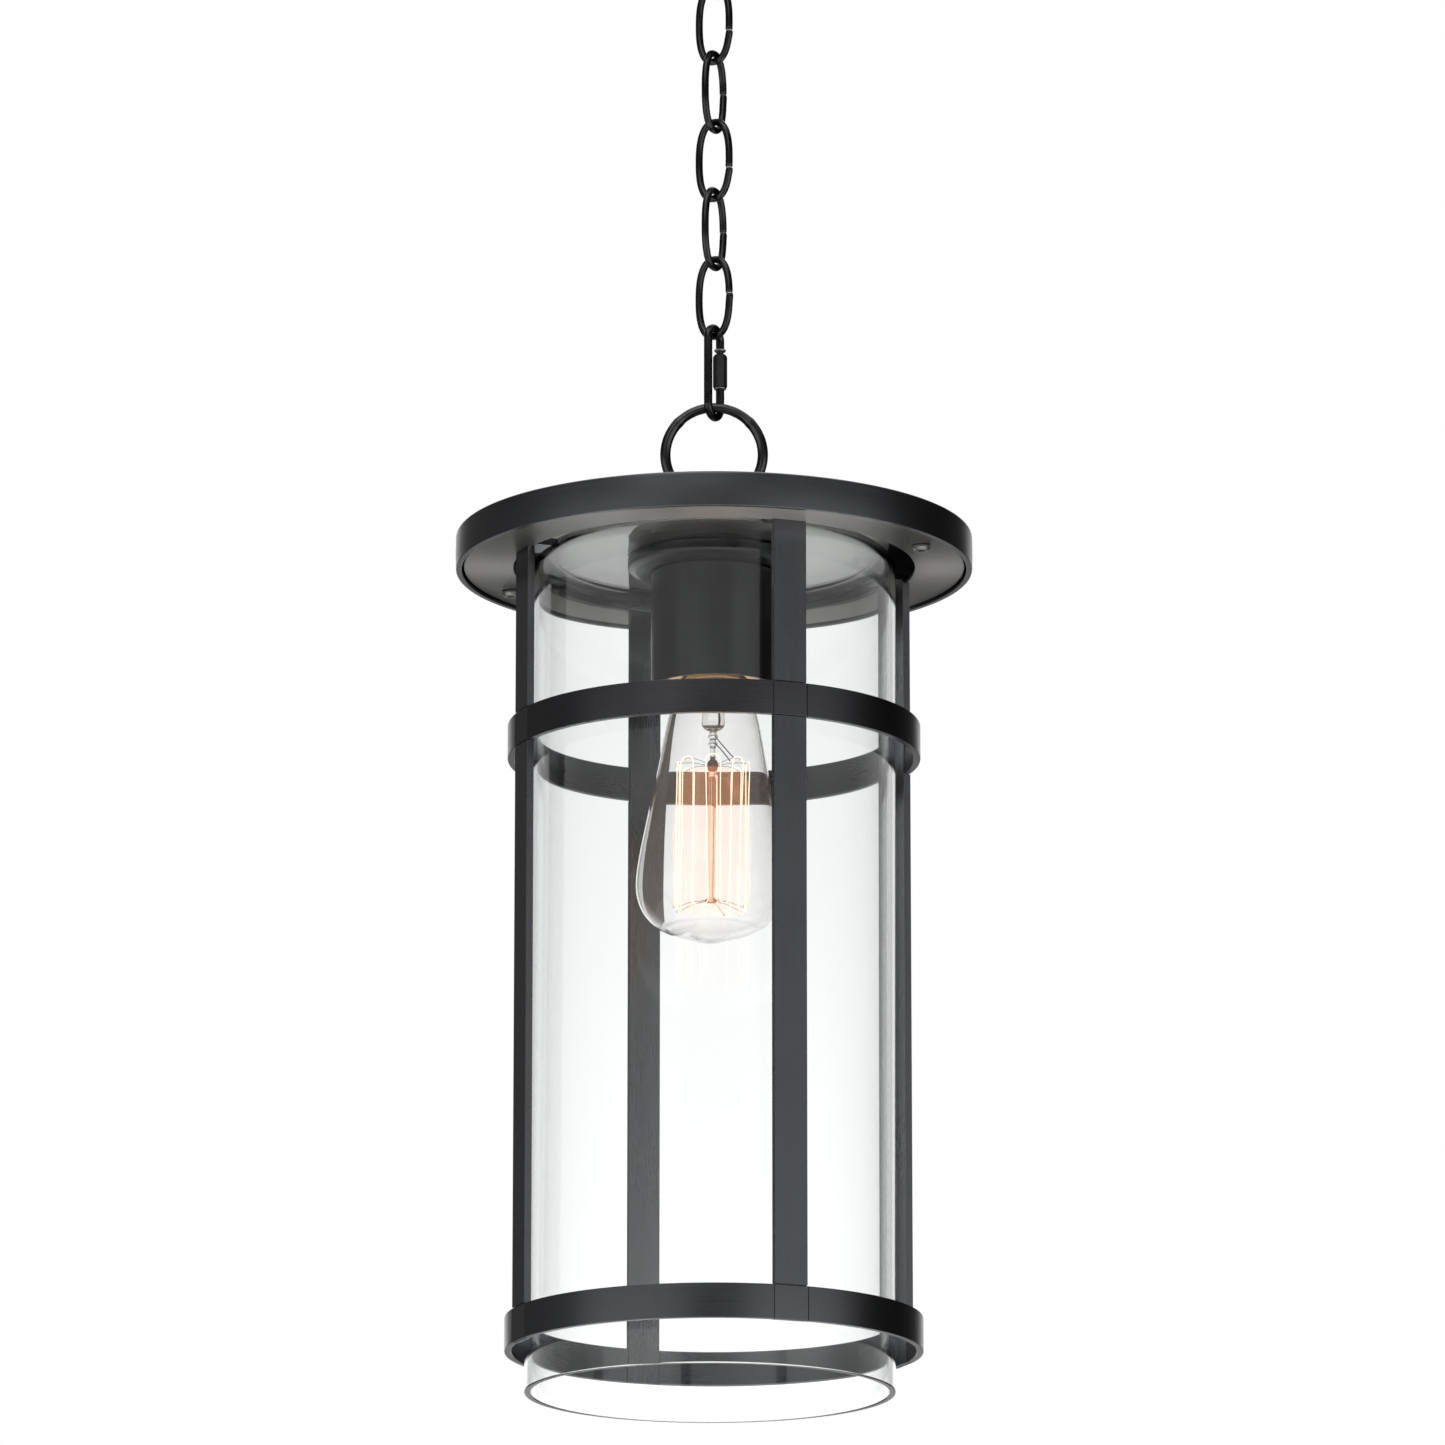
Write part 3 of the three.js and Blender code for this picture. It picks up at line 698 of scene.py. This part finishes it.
def cap():
    """The cap, the bright disc and the plate under it, and the plate's screws and standoffs."""
    under = CAP_TOP - SHEET
    inner, face = CAP_R - RIM_WALL, CAP_R - RIM_BULGE
    middle = CAP_Z + 7.15
    shell = rounded(
        [(THREAD_HOLE, under, 0), (inner, under, 0.4), (inner, CAP_Z, 0.35)]
        + [(face, CAP_Z, 0.4)]
        + [(CAP_R - RIM_BULGE * t * t / 36, middle + 1.1 * t, 0) for t in range(-5, 6)]
        + [(face, CAP_TOP, 1.1), (THREAD_HOLE, CAP_TOP, 0)], 5
    )
    body = lathe("cap_shell", shell, 192)
    cut(body, pole("wire_hole", WIRE_HOLE, CAP_Z, CAP_TOP + 5, GROMMET_AT))
    piece(body, "lantern", "black_steel", rim_black, "cap_shell")
    grommet("cap_wire_grommet", GROMMET_AT, "lantern", under, CAP_TOP)

    bottom, top = low("reflector_disc").z, high("reflector_disc").z
    edge = 78
    disc = rounded(
        [(THREAD_HOLE, bottom, 0), (edge, bottom, 0.3), (edge, top, 0.3), (THREAD_HOLE, top, 0)], 3
    )
    body = lathe("reflector_disc", disc, 160)
    cut(body, pole("wire_hole", 7.5, bottom - 3, top + 3, GROMMET_AT))
    piece(body, "lantern", "brushed_steel", disc_steel, "reflector_disc")

    bottom, top = low("underside_plate").z, high("underside_plate").z
    ring = rounded(
        [(PLATE_INNER, bottom, 0.25), (PLATE_OUTER, bottom, 0.35), (PLATE_OUTER, top, 0.2),
         (PLATE_INNER, top, 0.2)], 3
    )
    body = lathe("underside_plate", ring, 192)
    notches = [
        block("notch", (15.6, 8, 12), (0, -87.3, bottom), CAGE_TURN + 90 * k) for k in range(4)
    ]
    cut(body, *notches)
    piece(body, "lantern", "brushed_steel", plate_steel, "underside_plate")

    for k in (1, 2):
        name = f"plate_screw_{k}"
        lo, hi = low(name), high(name)
        at = plan_middle(name)
        head_top = lo.z + 2.0
        outline = rounded(
            [(0, lo.z, 0), (2.9, lo.z, 1.6), (4, lo.z + 1.2, 0.6), (4, head_top, 0.1),
             (2.1, head_top, 0), (2.1, hi.z, 0.4), (0, hi.z, 0)], 5, False
        )
        screw = lathe(name, outline, 64, at, False)
        slots = []
        for turn in (38, 128):
            slot = block("slot", (3.9, 0.95, 2.2), (0, 0, lo.z), turn)
            slot.location = (at[0] * MM, at[1] * MM, 0)
            slots.append(slot)
        bpy.context.view_layer.update()
        cut(screw, *slots)
        piece(screw, "lantern", "zinc_steel", zinc, name)
        name = f"plate_standoff_{k}"
        spacer = rounded(
            [(2.5, low(name).z, 0), (4.5, low(name).z, 0.3), (4.5, high(name).z, 0.3),
             (2.5, high(name).z, 0)], 3
        )
        piece(lathe(name, spacer, 48, at), "lantern", "zinc_steel", zinc, name)


hang_ring()
cap()


# ---- cage ----

POST_WIDTH, POST_THICK, POST_OUTER = 15.0, 3.2, 91.0
POST_FOOT = POST_THICK + 12
BAND_OUTER, BAND_FLAT_HALF, BAND_ROUND_INNER = 91.1, 7.65, 88.34
LAP_FACE, LAP_GAP, LAP_NOTCH_HALF = 89.7, 0.3, 7.8
SEAM_WIDTH, SEAM_DEPTH = 0.22, 0.42


def posts():
    """Flat bars with a foot turned in under the cap, cut back where the hoops lap them."""
    top, bottom = high("post_1").z, low("post_1").z
    bands = [(low(n).z - LAP_GAP, high(n).z + LAP_GAP) for n in ("mid_band", "bottom_band")]
    tool_width, tool_depth = 40, 10
    for k in range(4):
        turn = CAGE_TURN + 90 * k
        mid = -(POST_OUTER - POST_THICK / 2)
        bar = block(f"post_{k + 1}", (POST_WIDTH, POST_THICK, top - bottom),
                    (0, mid, (top + bottom) / 2), turn)
        foot = block("foot", (POST_WIDTH, POST_FOOT, POST_THICK),
                     (0, -(POST_OUTER - POST_FOOT / 2), top - POST_THICK / 2), turn)
        combine(bar, "UNION", foot)
        laps = [
            block("lap", (tool_width, tool_depth, b - a),
                  (0, -(LAP_FACE - LAP_GAP + tool_depth / 2), (a + b) / 2), turn)
            for a, b in bands
        ]
        cut(bar, *laps)
        soften(bar, 0.35, 3)
        piece(bar, "lantern", "black_steel", post_black, f"post_{k + 1}", sharp=40)


def band(name, look):
    """A hoop that is flat in front of each post, with a seam on each side of the flat."""
    bottom, top = low(name).z, high(name).z
    outer_round = math.hypot(BAND_OUTER, BAND_FLAT_HALF)
    seam_floor = outer_round - SEAM_DEPTH
    edge = 0.35
    side = math.atan2(BAND_FLAT_HALF + 0.05, BAND_OUTER)
    seam = SEAM_WIDTH / BAND_OUTER
    notch = math.atan2(LAP_NOTCH_HALF, LAP_FACE)
    lap_side, lap_notch = LAP_FACE / cos(side), LAP_FACE / cos(notch)
    first = notch + 0.0031
    last = pi / 2 - first

    # angle, inner and outer radius: the flat, its seam and notch, the round, and back again
    flat = []
    for step in range(-8, 9):
        a = math.atan2(BAND_FLAT_HALF * step / 8, BAND_OUTER)
        flat.append((a, LAP_FACE / cos(a), BAND_OUTER / cos(a)))
    shoulder = [
        (side + seam * 0.5, lap_side, seam_floor), (side + seam, lap_side, seam_floor),
        (side + seam * 1.5, lap_side, outer_round), (notch + 0.0030, lap_notch, outer_round),
        (first, BAND_ROUND_INNER, outer_round),
    ]
    turns = [first + (last - first) * step / 40 for step in range(1, 40)]
    quarter = flat + shoulder + [(a, BAND_ROUND_INNER, outer_round) for a in turns]
    quarter += [(pi / 2 - a, inner, outer) for a, inner, outer in reversed(shoulder)]
    stations = [((k, a), inner, outer) for k in range(4) for a, inner, outer in quarter]
    verts, rings = [], []
    for (k, a), inner, outer in stations:
        angle = radians(CAGE_TURN) + k * pi / 2 + a
        section = [
            (inner, bottom + edge), (inner + edge, bottom), (outer - edge, bottom),
            (outer - edge * 0.3, bottom + edge * 0.3), (outer, bottom + edge),
            (outer, top - edge), (outer - edge * 0.3, top - edge * 0.3), (outer - edge, top),
            (inner + edge, top), (inner, top - edge),
        ]
        rings.append(list(range(len(verts), len(verts) + len(section))))
        verts += [(r * sin(angle), -r * cos(angle), z) for r, z in section]
    hoop = mesh_object(name, verts, skin(rings, True))
    piece(hoop, "lantern", "black_steel", look, name, sharp=30)


posts()
band("mid_band", mid_black)
band("bottom_band", band_black)


# ---- glass cylinder ----

# sideways per height, as the glass hangs
GLASS_LEAN = 0.0045


def glass():
    """The glass cylinder with its rounded closed shoulder, and the gasket above it."""
    top, bottom = high("glass_cylinder").z, low("glass_cylinder").z
    wall, shoulder, hole = 3.0, 10.0, 10.0
    outer = high("glass_cylinder").x
    outline = rounded(
        [(hole, top, 0.6), (outer, top, shoulder), (outer, bottom, 0.5),
         (outer - wall, bottom, 0.5), (outer - wall, top - wall, shoulder - wall),
         (hole, top - wall, 0.6)], 12
    )
    body = lathe("glass_cylinder", outline, 256)
    for v in body.data.vertices:
        v.co.x += GLASS_LEAN * (v.co.z - top * MM)
    body.visible_shadow = False
    piece(body, "lantern", "clear_glass", lantern_glass, "glass_cylinder")
    z0, z1 = low("glass_gasket").z, high("glass_gasket").z
    edge = 30
    pad = rounded([(THREAD_HOLE, z0, 0), (edge, z0, 0.4), (edge, z1, 0.4), (THREAD_HOLE, z1, 0)], 3)
    piece(lathe("glass_gasket", pad, 96), "lantern", "rubber", rubber, "glass_gasket")


glass()


# ---- lampholder ----


def lampholder():
    """The dished flange, the cup, and the holder with its screw shell inside the cup."""
    top, bottom = high("socket_flange").z, low("socket_flange").z
    r, wall = 38.4, 1.2
    dish = rounded(
        [(THREAD_HOLE, bottom, 0), (29.0, bottom, 1.5), (35.0, bottom + 0.7, 2.0),
         (r, bottom + 2.0, 1.6), (r, top, 0.5), (r - wall, top, 0.4),
         (r - wall, bottom + 2.8, 1.0), (34.5, bottom + 0.9 + wall, 1.5),
         (28, bottom + wall, 1.0), (THREAD_HOLE, bottom + wall, 0)], 6
    )
    piece(lathe("socket_flange", dish, 160), "lantern", "black_steel", cup_black, "socket_flange")

    top, bottom = high("socket_cup").z, low("socket_cup").z
    r = 28.0
    cup = rounded(
        [(THREAD_HOLE, top, 0), (THREAD_HOLE, top - wall, 0), (r - wall, top - wall, 0.8),
         (r - wall, bottom, 0.35), (r, bottom, 0.45), (r, top, 1.1)], 5
    )
    piece(lathe("socket_cup", cup, 160), "lantern", "black_steel", cup_black, "socket_cup")

    top, bottom = high("lampholder_body").z, low("lampholder_body").z
    bore, outer, roof = 14.7, 20.5, top - 13.5
    holder = rounded(
        [(THREAD_HOLE, top, 0), (THREAD_HOLE, roof, 0), (bore, roof, 0.5), (bore, bottom, 0.8),
         (outer, bottom, 1.2), (outer, top - 9, 3.0), (11, top, 2.0)], 5
    )
    piece(lathe("lampholder_body", holder, 96), "lantern", "porcelain", porcelain, "lampholder_body")

    name = "lampholder_screw_shell"
    bottom, top = low(name).z, high(name).z
    piece(threaded(name, 14.1, 13.85, bottom, top), "lantern", "brass", brass, name, sharp=60)
    repaint("lampholder_contact", brass)
    repaint("socket_nut", zinc)
    repaint("centre_threaded_tube", zinc)


def threaded(name, outer, inner, bottom, top):
    """A rolled sheet thread."""
    pitch, depth = 3.63, 0.28
    steps = int((top - bottom) * 3)

    def wave(r, z, a):
        ease = min(1.0, (z - bottom) / 2, (top - z) / 2)
        return r + depth * max(0.0, ease) * (cos(tau * z / pitch - a) - 1) * 0.5

    rows = [bottom + (top - bottom) * k / steps for k in range(steps + 1)]
    profile = [(outer, z) for z in rows] + [(inner, z) for z in reversed(rows)]
    return lathe(name, profile, 72, radius=wave)


lampholder()


# ---- lamp ----

# sideways per height below the seat, and the seat's depth under the cap's rim
LAMP_LEAN, LAMP_SEAT = 0.013, 45


def leaned(obj):
    """The lamp stands a little askew in its base."""
    seat = (CAP_Z - LAMP_SEAT) * MM
    for v in obj.data.vertices:
        v.co.x += LAMP_LEAN * min(0, v.co.z - seat)
    return obj


def inside_lamp(name, points, segments, look, *nodes):
    """A turned piece inside the bulb. Heights are from the cap's rim."""
    profile = [(max(r, 0), h + CAP_Z) for r, h in points]
    obj = leaned(lathe(name, profile, segments, closed=False))
    return piece(obj, "lamp", "lamp_glass", look, *nodes, sharp=60)


def lamp():
    """The bulb with an inner wall, its base, and the stem, pinch, rod and button inside."""
    tip = low("bulb_glass").z
    # outside from the neck to the tip, heights above the tip
    outline = smooth_curve(
        [(11.9, 135.3), (11.9, 126), (11.95, 118.5), (14.2, 113.5), (17.2, 109), (20.2, 100.5),
         (25.0, 75.3), (29.0, 55), (31.9, 39.5), (33.25, 28), (32.6, 20.5), (30.0, 14.0),
         (25.4, 8.6), (19.6, 5.2), (14.2, 3.4), (10.2, 2.5), (7.2, 1.6), (4.6, 0.7), (2.3, 0.15),
         (0, 0)], 5
    )
    wall, tip_wall = 0.8, 1.0
    outer = [(max(r, 0), z + tip) for r, z in outline]
    inner = []
    for i, (r, z) in enumerate(outer[:-1]):
        a = Vector(outer[max(i - 1, 0)])
        b = Vector(outer[min(i + 1, len(outer) - 1)])
        down = (b - a).normalized()
        inward = Vector((down.y, -down.x))
        thick = wall if z > tip + 6 else tip_wall
        inside = Vector((r, z)) + inward * thick
        if inside.x > 0.2:
            inner.append((inside.x, inside.y))
    inner.append((0, tip + 1.1))
    bulb = lathe("bulb_glass", outer + inner[::-1], 128)
    bulb.visible_shadow = False
    piece(leaned(bulb), "lamp", "lamp_glass", lamp_glass, "bulb_glass", sharp=60)

    name = "bulb_base"
    bottom, top = low(name).z, high(name).z
    piece(threaded(name, 13.0, 12.65, bottom, top), "lamp", "brass", base_metal, name, sharp=60)
    name = "bulb_base_insulator"
    z = low(name).z
    cone = rounded(
        [(0, z, 0), (11.6, z, 0.2), (10.4, z + 1.2, 0.5), (6, z + 2.6, 0.6), (0, z + 2.6, 0)],
        4, False
    )
    piece(lathe(name, cone, 64, closed=False), "lamp", "black_insulator", insulator, name)
    name = "bulb_base_contact"
    z0, z1 = low(name).z, high(name).z
    button = rounded(
        [(0, z0, 0), (4.6, z0, 0.1), (4.6, z1 - 0.2, 0.8), (3, z1, 1.0), (0, z1, 0)], 4, False
    )
    piece(lathe(name, button, 48, closed=False), "lamp", "zinc_steel", zinc, name)

    flare = smooth_curve(
        [(9.0, -36), (6.6, -40), (5.2, -46), (4.8, -56), (4.9, -66), (5.2, -69.5), (4.6, -71.6),
         (2.6, -73), (0, -73.4)], 5
    )
    stem = inside_lamp("bulb_stem", [(0, -36)] + flare, 64, stem_glass, "bulb_stem")
    stem.visible_shadow = False
    pinch = smooth_curve(
        [(0.3, -71.5), (2.3, -72.2), (1.5, -74.2), (2.2, -75.8), (1.3, -77.6), (2.0, -79.2),
         (1.1, -81.0), (0, -81.4)], 4
    )
    inside_lamp("bulb_pinch", [(0, -71.4)] + pinch, 32, stem_glass)
    neck = smooth_curve([(1.15, -80.6), (1.1, -84), (1.25, -86.3)], 4)
    inside_lamp("bulb_rod_top", [(0, -80.6)] + neck + [(0, -86.3)], 24, stem_glass)
    bead = smooth_curve(
        [(0, -86.4), (1.7, -86.8), (2.35, -88.4), (2.2, -90.3), (1.6, -91.6), (0, -91.9)], 5
    )
    inside_lamp("bulb_button", bead, 40, button_glass)
    rod = smooth_curve(
        [(0, -92.0), (1.7, -92.4), (1.75, -96), (1.65, -120), (1.55, -147.5), (1.7, -149)], 5
    )
    foot = smooth_curve([(1.9, -149.2), (2.7, -150.2), (2.2, -151.1), (0, -151.4)], 4)
    inside_lamp("bulb_rod", rod + foot, 32, rod_glass)


lamp()


def filament():
    """The squirrel cage: upright hairpin strands round the rod, their hooks and lead wires."""
    z = CAP_Z
    top, bottom = -90.0, -152.5
    count, arc, wire_radius = 15, 322.0, 0.22
    ends = []
    for k in range(count):
        a = radians(12 - arc / 2 + arc * k / (count - 1))
        r_top = 15.9 + 0.8 * sin(k * 2.1)
        r_bottom = 15.6 + 1.0 * cos(k * 1.7)
        skew = radians(6.5 * sin(k * 1.31))
        ends.append(
            (
                Vector((r_top * sin(a), -r_top * cos(a), z + top)),
                Vector((r_bottom * sin(a + skew), -r_bottom * cos(a + skew), z + bottom)),
            )
        )
    points = []
    for k in range(count):
        first, last = ends[k] if k % 2 else ends[k][::-1]
        for step in range(25):
            points.append(first.lerp(last, step / 24))
        if k < count - 1:
            following = ends[k + 1][1] if k % 2 else ends[k + 1][0]
            side = (following - last) / 2
            lift = Vector((0, 0, -1 if k % 2 else 1)) * side.length * 0.8
            for step in range(1, 8):
                a = pi * step / 8
                points.append((last + following) / 2 - side * cos(a) + lift * sin(a))
    wire = tube("bulb_filament", points, wire_radius, sides=8)
    piece(leaned(wire), "lamp", "filament_wire", hot_wire, "bulb_filament", sharp=80)

    # a painted glow that fills the cage: a see-through shape that gives off warm light of its own
    painted_glow_outline = rounded(
        [(0, z - 155, 0), (16.6, z - 155, 5), (17.4, z - 120, 30), (15.6, z - 92, 6),
         (0, z - 92, 0)], 6, False
    )
    glow = lathe("bulb_glow", painted_glow_outline, 64, closed=False)
    glow.visible_shadow = False
    piece(leaned(glow), "lamp", "lamp_glass", painted_cage_glow, sharp=80)

    def hook(k, end, hub, reach, rise, bow_place, bow, tip_out, tip_rise):
        """From near the lamp's axis out to a bend of the filament, and round it."""
        middle = (ends[k][end] + ends[k + 1][end]) / 2
        direction = Vector((middle.x, middle.y, 0)).normalized()
        start = Vector((0, 0, z + hub)) + direction * reach
        crook = middle + Vector((0, 0, rise)) + direction * 0.5
        bend = start.lerp(crook, bow_place) + Vector((0, 0, bow))
        tail = crook + Vector((0, 0, tip_rise)) + direction * tip_out
        return [start, bend, crook, tail]

    upper = [hook(k, 0, -89.0, 2.0, 1.8, 0.55, 0.8, 0.6, -1.2) for k in range(0, count - 1, 2)]
    lower = [hook(k, 1, -150.2, 2.3, -1.8, 0.5, 0.7, 0.5, 1.0) for k in range(1, count - 1, 2)]
    for k, route in enumerate(upper + lower):
        wire = tube(f"bulb_hook_{k + 1}", smooth_curve(route, 6), 0.11, sides=6)
        piece(leaned(wire), "lamp", "filament_wire", lead_wire, sharp=80)

    leads = [
        [(1.0, -1.0, z - 76), (3.5, -2.2, z - 79.5), (7.6, -3.6, z - 84.6), (9.6, -4.0, z - 86.6)],
        [(0.3, -1.6, z - 79), (3.2, -3.0, z - 82.0), (6.9, -4.6, z - 87.0), (7.6, -4.9, z - 88.2)],
    ]
    for k, route in enumerate(leads):
        wire = tube(f"bulb_lead_{k + 1}", smooth_curve(route, 8), 0.24, sides=8)
        piece(leaned(wire), "lamp", "filament_wire", lead_wire, sharp=80)


filament()


# ---- ceiling fitting ----


def ceiling():
    """The canopy with its loop, and the crossbar inside it."""
    name = "ceiling_canopy"
    bottom = low(name).z
    sheet = 1.2
    dome = rounded(
        [(THREAD_HOLE, bottom, 0), (38, bottom, 8), (52, bottom + 3.6, 8), (59.5, bottom + 9.6, 6),
         (63.5, -8.5, 6), (63.5, 0, 0.4), (62.3, 0, 0.4), (62.3, -8.5, 5), (58.5, bottom + 10.4, 5),
         (51.4, bottom + 4.9, 7), (37.8, bottom + sheet, 7), (THREAD_HOLE, bottom + sheet, 0)], 6
    )
    body = lathe(name, dome, 160)
    at = plan_middle("canopy_wire_grommet")
    cut(body, pole("wire_hole", WIRE_HOLE, bottom - 3, bottom + 4, at))
    piece(body, "ceiling_fitting", "black_steel", rim_black, name)
    grommet("canopy_wire_grommet", at, "ceiling_fitting", bottom, bottom + sheet)

    wire, radius = 4.0, 13.0
    centre = low("ceiling_loop").z + wire / 2 + radius
    points = []
    for k in range(96):
        a = tau * k / 96
        points.append(turned((radius * sin(a), 0, centre + radius * cos(a)), CROSS_TURN))
    loop = tube("ceiling_loop", points, wire / 2, sides=24, closed=True)
    top = bottom - 0.3
    foot = rounded(
        [(0, top, 0), (12, top, 0.4), (12, top - 3, 0.8), (8, top - 5, 1.5),
         (6.5, centre + radius, 1.0), (0, centre + radius, 0)], 4, False
    )
    combine(loop, "UNION", lathe("loop_foot", foot, 80, closed=False))
    cut(loop, pole("loop_hole", THREAD_HOLE, top - 5.5, top + 5))
    piece(loop, "ceiling_fitting", "black_steel", ring_black, "ceiling_loop", sharp=45)

    length, width, thick = 102, 19, 3
    slot_place, slot_length, slot_width = 44.45, 9, 4.8
    bar = block("ceiling_crossbar", (length, width, thick), (0, 0, -thick / 2), CROSS_TURN)
    tools = [pole("thread_hole", THREAD_HOLE, -6, 3)]
    for side in (1, -1):
        tools.append(block("slot", (slot_length, slot_width, 9), (slot_place * side, 0, 0), CROSS_TURN))
    cut(bar, *tools)
    soften(bar, 0.4, 2)
    piece(bar, "ceiling_fitting", "zinc_steel", zinc, "ceiling_crossbar", sharp=40)
    repaint("canopy_threaded_tube", zinc)
    repaint("crossbar_nut", zinc)


ceiling()


# ---- lights ----


def lamp_light():
    """The faint warm light that the filament throws."""
    data = bpy.data.lights.new("lamp_light", "POINT")
    data.energy, data.color, data.shadow_soft_size = 0.2, (1.0, 0.55, 0.25), 0.015
    obj = bpy.data.objects.new("lamp_light", data)
    obj.location = (0, 0, (CAP_Z - 120) * MM)
    obj.visible_camera = obj.visible_transmission = obj.visible_glossy = False
    scene.collection.objects.link(obj)


def floor():
    """A pale round floor far below the lantern."""
    level, radius, count = -2200, 3500, 96
    turns = [tau * k / count for k in range(count)]
    points = [(0, 0, level)] + [(radius * sin(a), radius * cos(a), level) for a in turns]
    faces = [(0, k + 1, (k + 1) % count + 1) for k in range(count)]
    obj = mesh_object("floor", points, faces)
    obj.data.materials.append(dull("floor_paint", (0.80, 0.80, 0.79), (0.7, 0.8), 0.2, 3))
    obj.visible_glossy = False


def studio():
    """White to the camera and through glass. Metal mirrors soft boxes on the camera's side, a
    white wall behind the lantern and a darker room elsewhere."""
    world = bpy.data.worlds.new("studio")
    scene.world = world
    world.use_nodes = True
    tree = world.node_tree
    nodes, links = tree.nodes, tree.links
    back_node = nodes["Background"]

    def value(operation, a, b):
        made = nodes.new("ShaderNodeMath")
        made.operation = operation
        for key, v in ((0, a), (1, b)):
            if isinstance(v, bpy.types.NodeSocket):
                links.new(v, made.inputs[key])
            else:
                made.inputs[key].default_value = v
        return made.outputs[0]

    def times(a, b):
        return value("MULTIPLY", a, b)

    def ramp(source, start, end, first, last):
        """A smooth step from first at start to last at end."""
        made = nodes.new("ShaderNodeMapRange")
        made.interpolation_type = "SMOOTHSTEP"
        links.new(source, made.inputs[0])
        for key, v in zip((1, 2, 3, 4), (start, end, first, last)):
            made.inputs[key].default_value = v
        return made.outputs[0]

    way = nodes.new("ShaderNodeTexCoord").outputs["Generated"]
    split = nodes.new("ShaderNodeSeparateXYZ")
    links.new(way, split.inputs[0])
    x, y, z = split.outputs
    flat = nodes.new("ShaderNodeCombineXYZ")
    links.new(x, flat.inputs[0])
    links.new(y, flat.inputs[1])
    unit = nodes.new("ShaderNodeVectorMath")
    unit.operation = "NORMALIZE"
    links.new(flat.outputs[0], unit.inputs[0])

    def toward(azimuth):
        """Cosine of the angle on plan from an azimuth, 0 being the camera's side."""
        dot = nodes.new("ShaderNodeVectorMath")
        dot.operation = "DOT_PRODUCT"
        links.new(unit.outputs[0], dot.inputs[0])
        dot.inputs[1].default_value = (sin(radians(azimuth)), -cos(radians(azimuth)), 0)
        return dot.outputs["Value"]

    def patch(azimuth, inner, outer):
        """Full within inner degrees of the azimuth, nothing beyond outer degrees."""
        return ramp(toward(azimuth), cos(radians(outer)), cos(radians(inner)), 0, 1)

    boxes = value("ADD", patch(-46, 6, 42), patch(48, 8, 42))
    high_boxes = value("ADD", patch(-84, 8, 44), patch(50, 14, 46))
    wall_level = times(ramp(z, 0.16, 0.25, 1.18, 1.0), ramp(z, -0.32, 0.02, 0.10, 1))
    glows = (
        # the soft boxes, with weaker ones above them
        (boxes, times(ramp(z, 0.14, 0.22, 0.46, 0), ramp(z, -0.6, -0.1, 0.3, 1))),
        (high_boxes, ramp(z, 0.16, 0.40, 0.085, 0.03)),
        # the wall behind the lantern, and the faint room round it
        (patch(180, 14, 28), wall_level),
        (ramp(toward(0), -0.8, -0.6, 0.04, 0), ramp(z, 0, 0.1, 0, 1)),
        (patch(-137, 12, 34), 0.05),
        # the camera's side
        (patch(0, 15, 100), ramp(z, 0.14, 0.22, 0.12, 0.01)),
        (patch(-14, 8, 36), ramp(z, 0.30, 0.38, 0, 0.6)),
        # straight up, and straight down
        (ramp(z, 0.5, 0.95, 0.012, 0.5), 1),
        (ramp(z, -0.9, -0.55, 0.7, 0), 1),
    )
    total = 0
    for place, strength in glows:
        total = value("ADD", total, times(place, strength))
    # behind glass the low surroundings stay white, so that it looks clear from every side
    rays = nodes.new("ShaderNodeLightPath")
    bounces = value("ADD", rays.outputs["Glossy Depth"], rays.outputs["Diffuse Depth"])
    straight = value("LESS_THAN", bounces, 0.5)
    walls = rays.outputs["Transmission Depth"]
    inside = times(value("LESS_THAN", walls, 4.5), value("GREATER_THAN", bounces, 1.5))
    in_wall = times(value("MAXIMUM", value("LESS_THAN", walls, 2.5), inside), 0.85)
    # the disc above the glass sees the white wall behind, through the glass
    one_bounce = times(value("COMPARE", bounces, 1), value("GREATER_THAN", walls, 3.5))
    off_disc = times(times(one_bounce, ramp(z, -0.16, 0.0, 0.9, 0)), patch(180, 14, 58))
    clear_path = value("MAXIMUM", value("MAXIMUM", straight, in_wall), off_disc)
    through = times(rays.outputs["Is Transmission Ray"], clear_path)
    through = times(through, ramp(z, 0.4, 0.7, 1, 0.4))
    total = value("MAXIMUM", total, through)
    level = nodes.new("ShaderNodeMix")
    links.new(rays.outputs["Is Camera Ray"], level.inputs[0])
    links.new(total, level.inputs[2])
    level.inputs[3].default_value = 1.0
    links.new(level.outputs[0], back_node.inputs["Strength"])
    back_node.inputs["Color"].default_value = (1, 1, 1, 1)


lamp_light()
floor()
studio()
scene.view_settings.view_transform = "Standard"
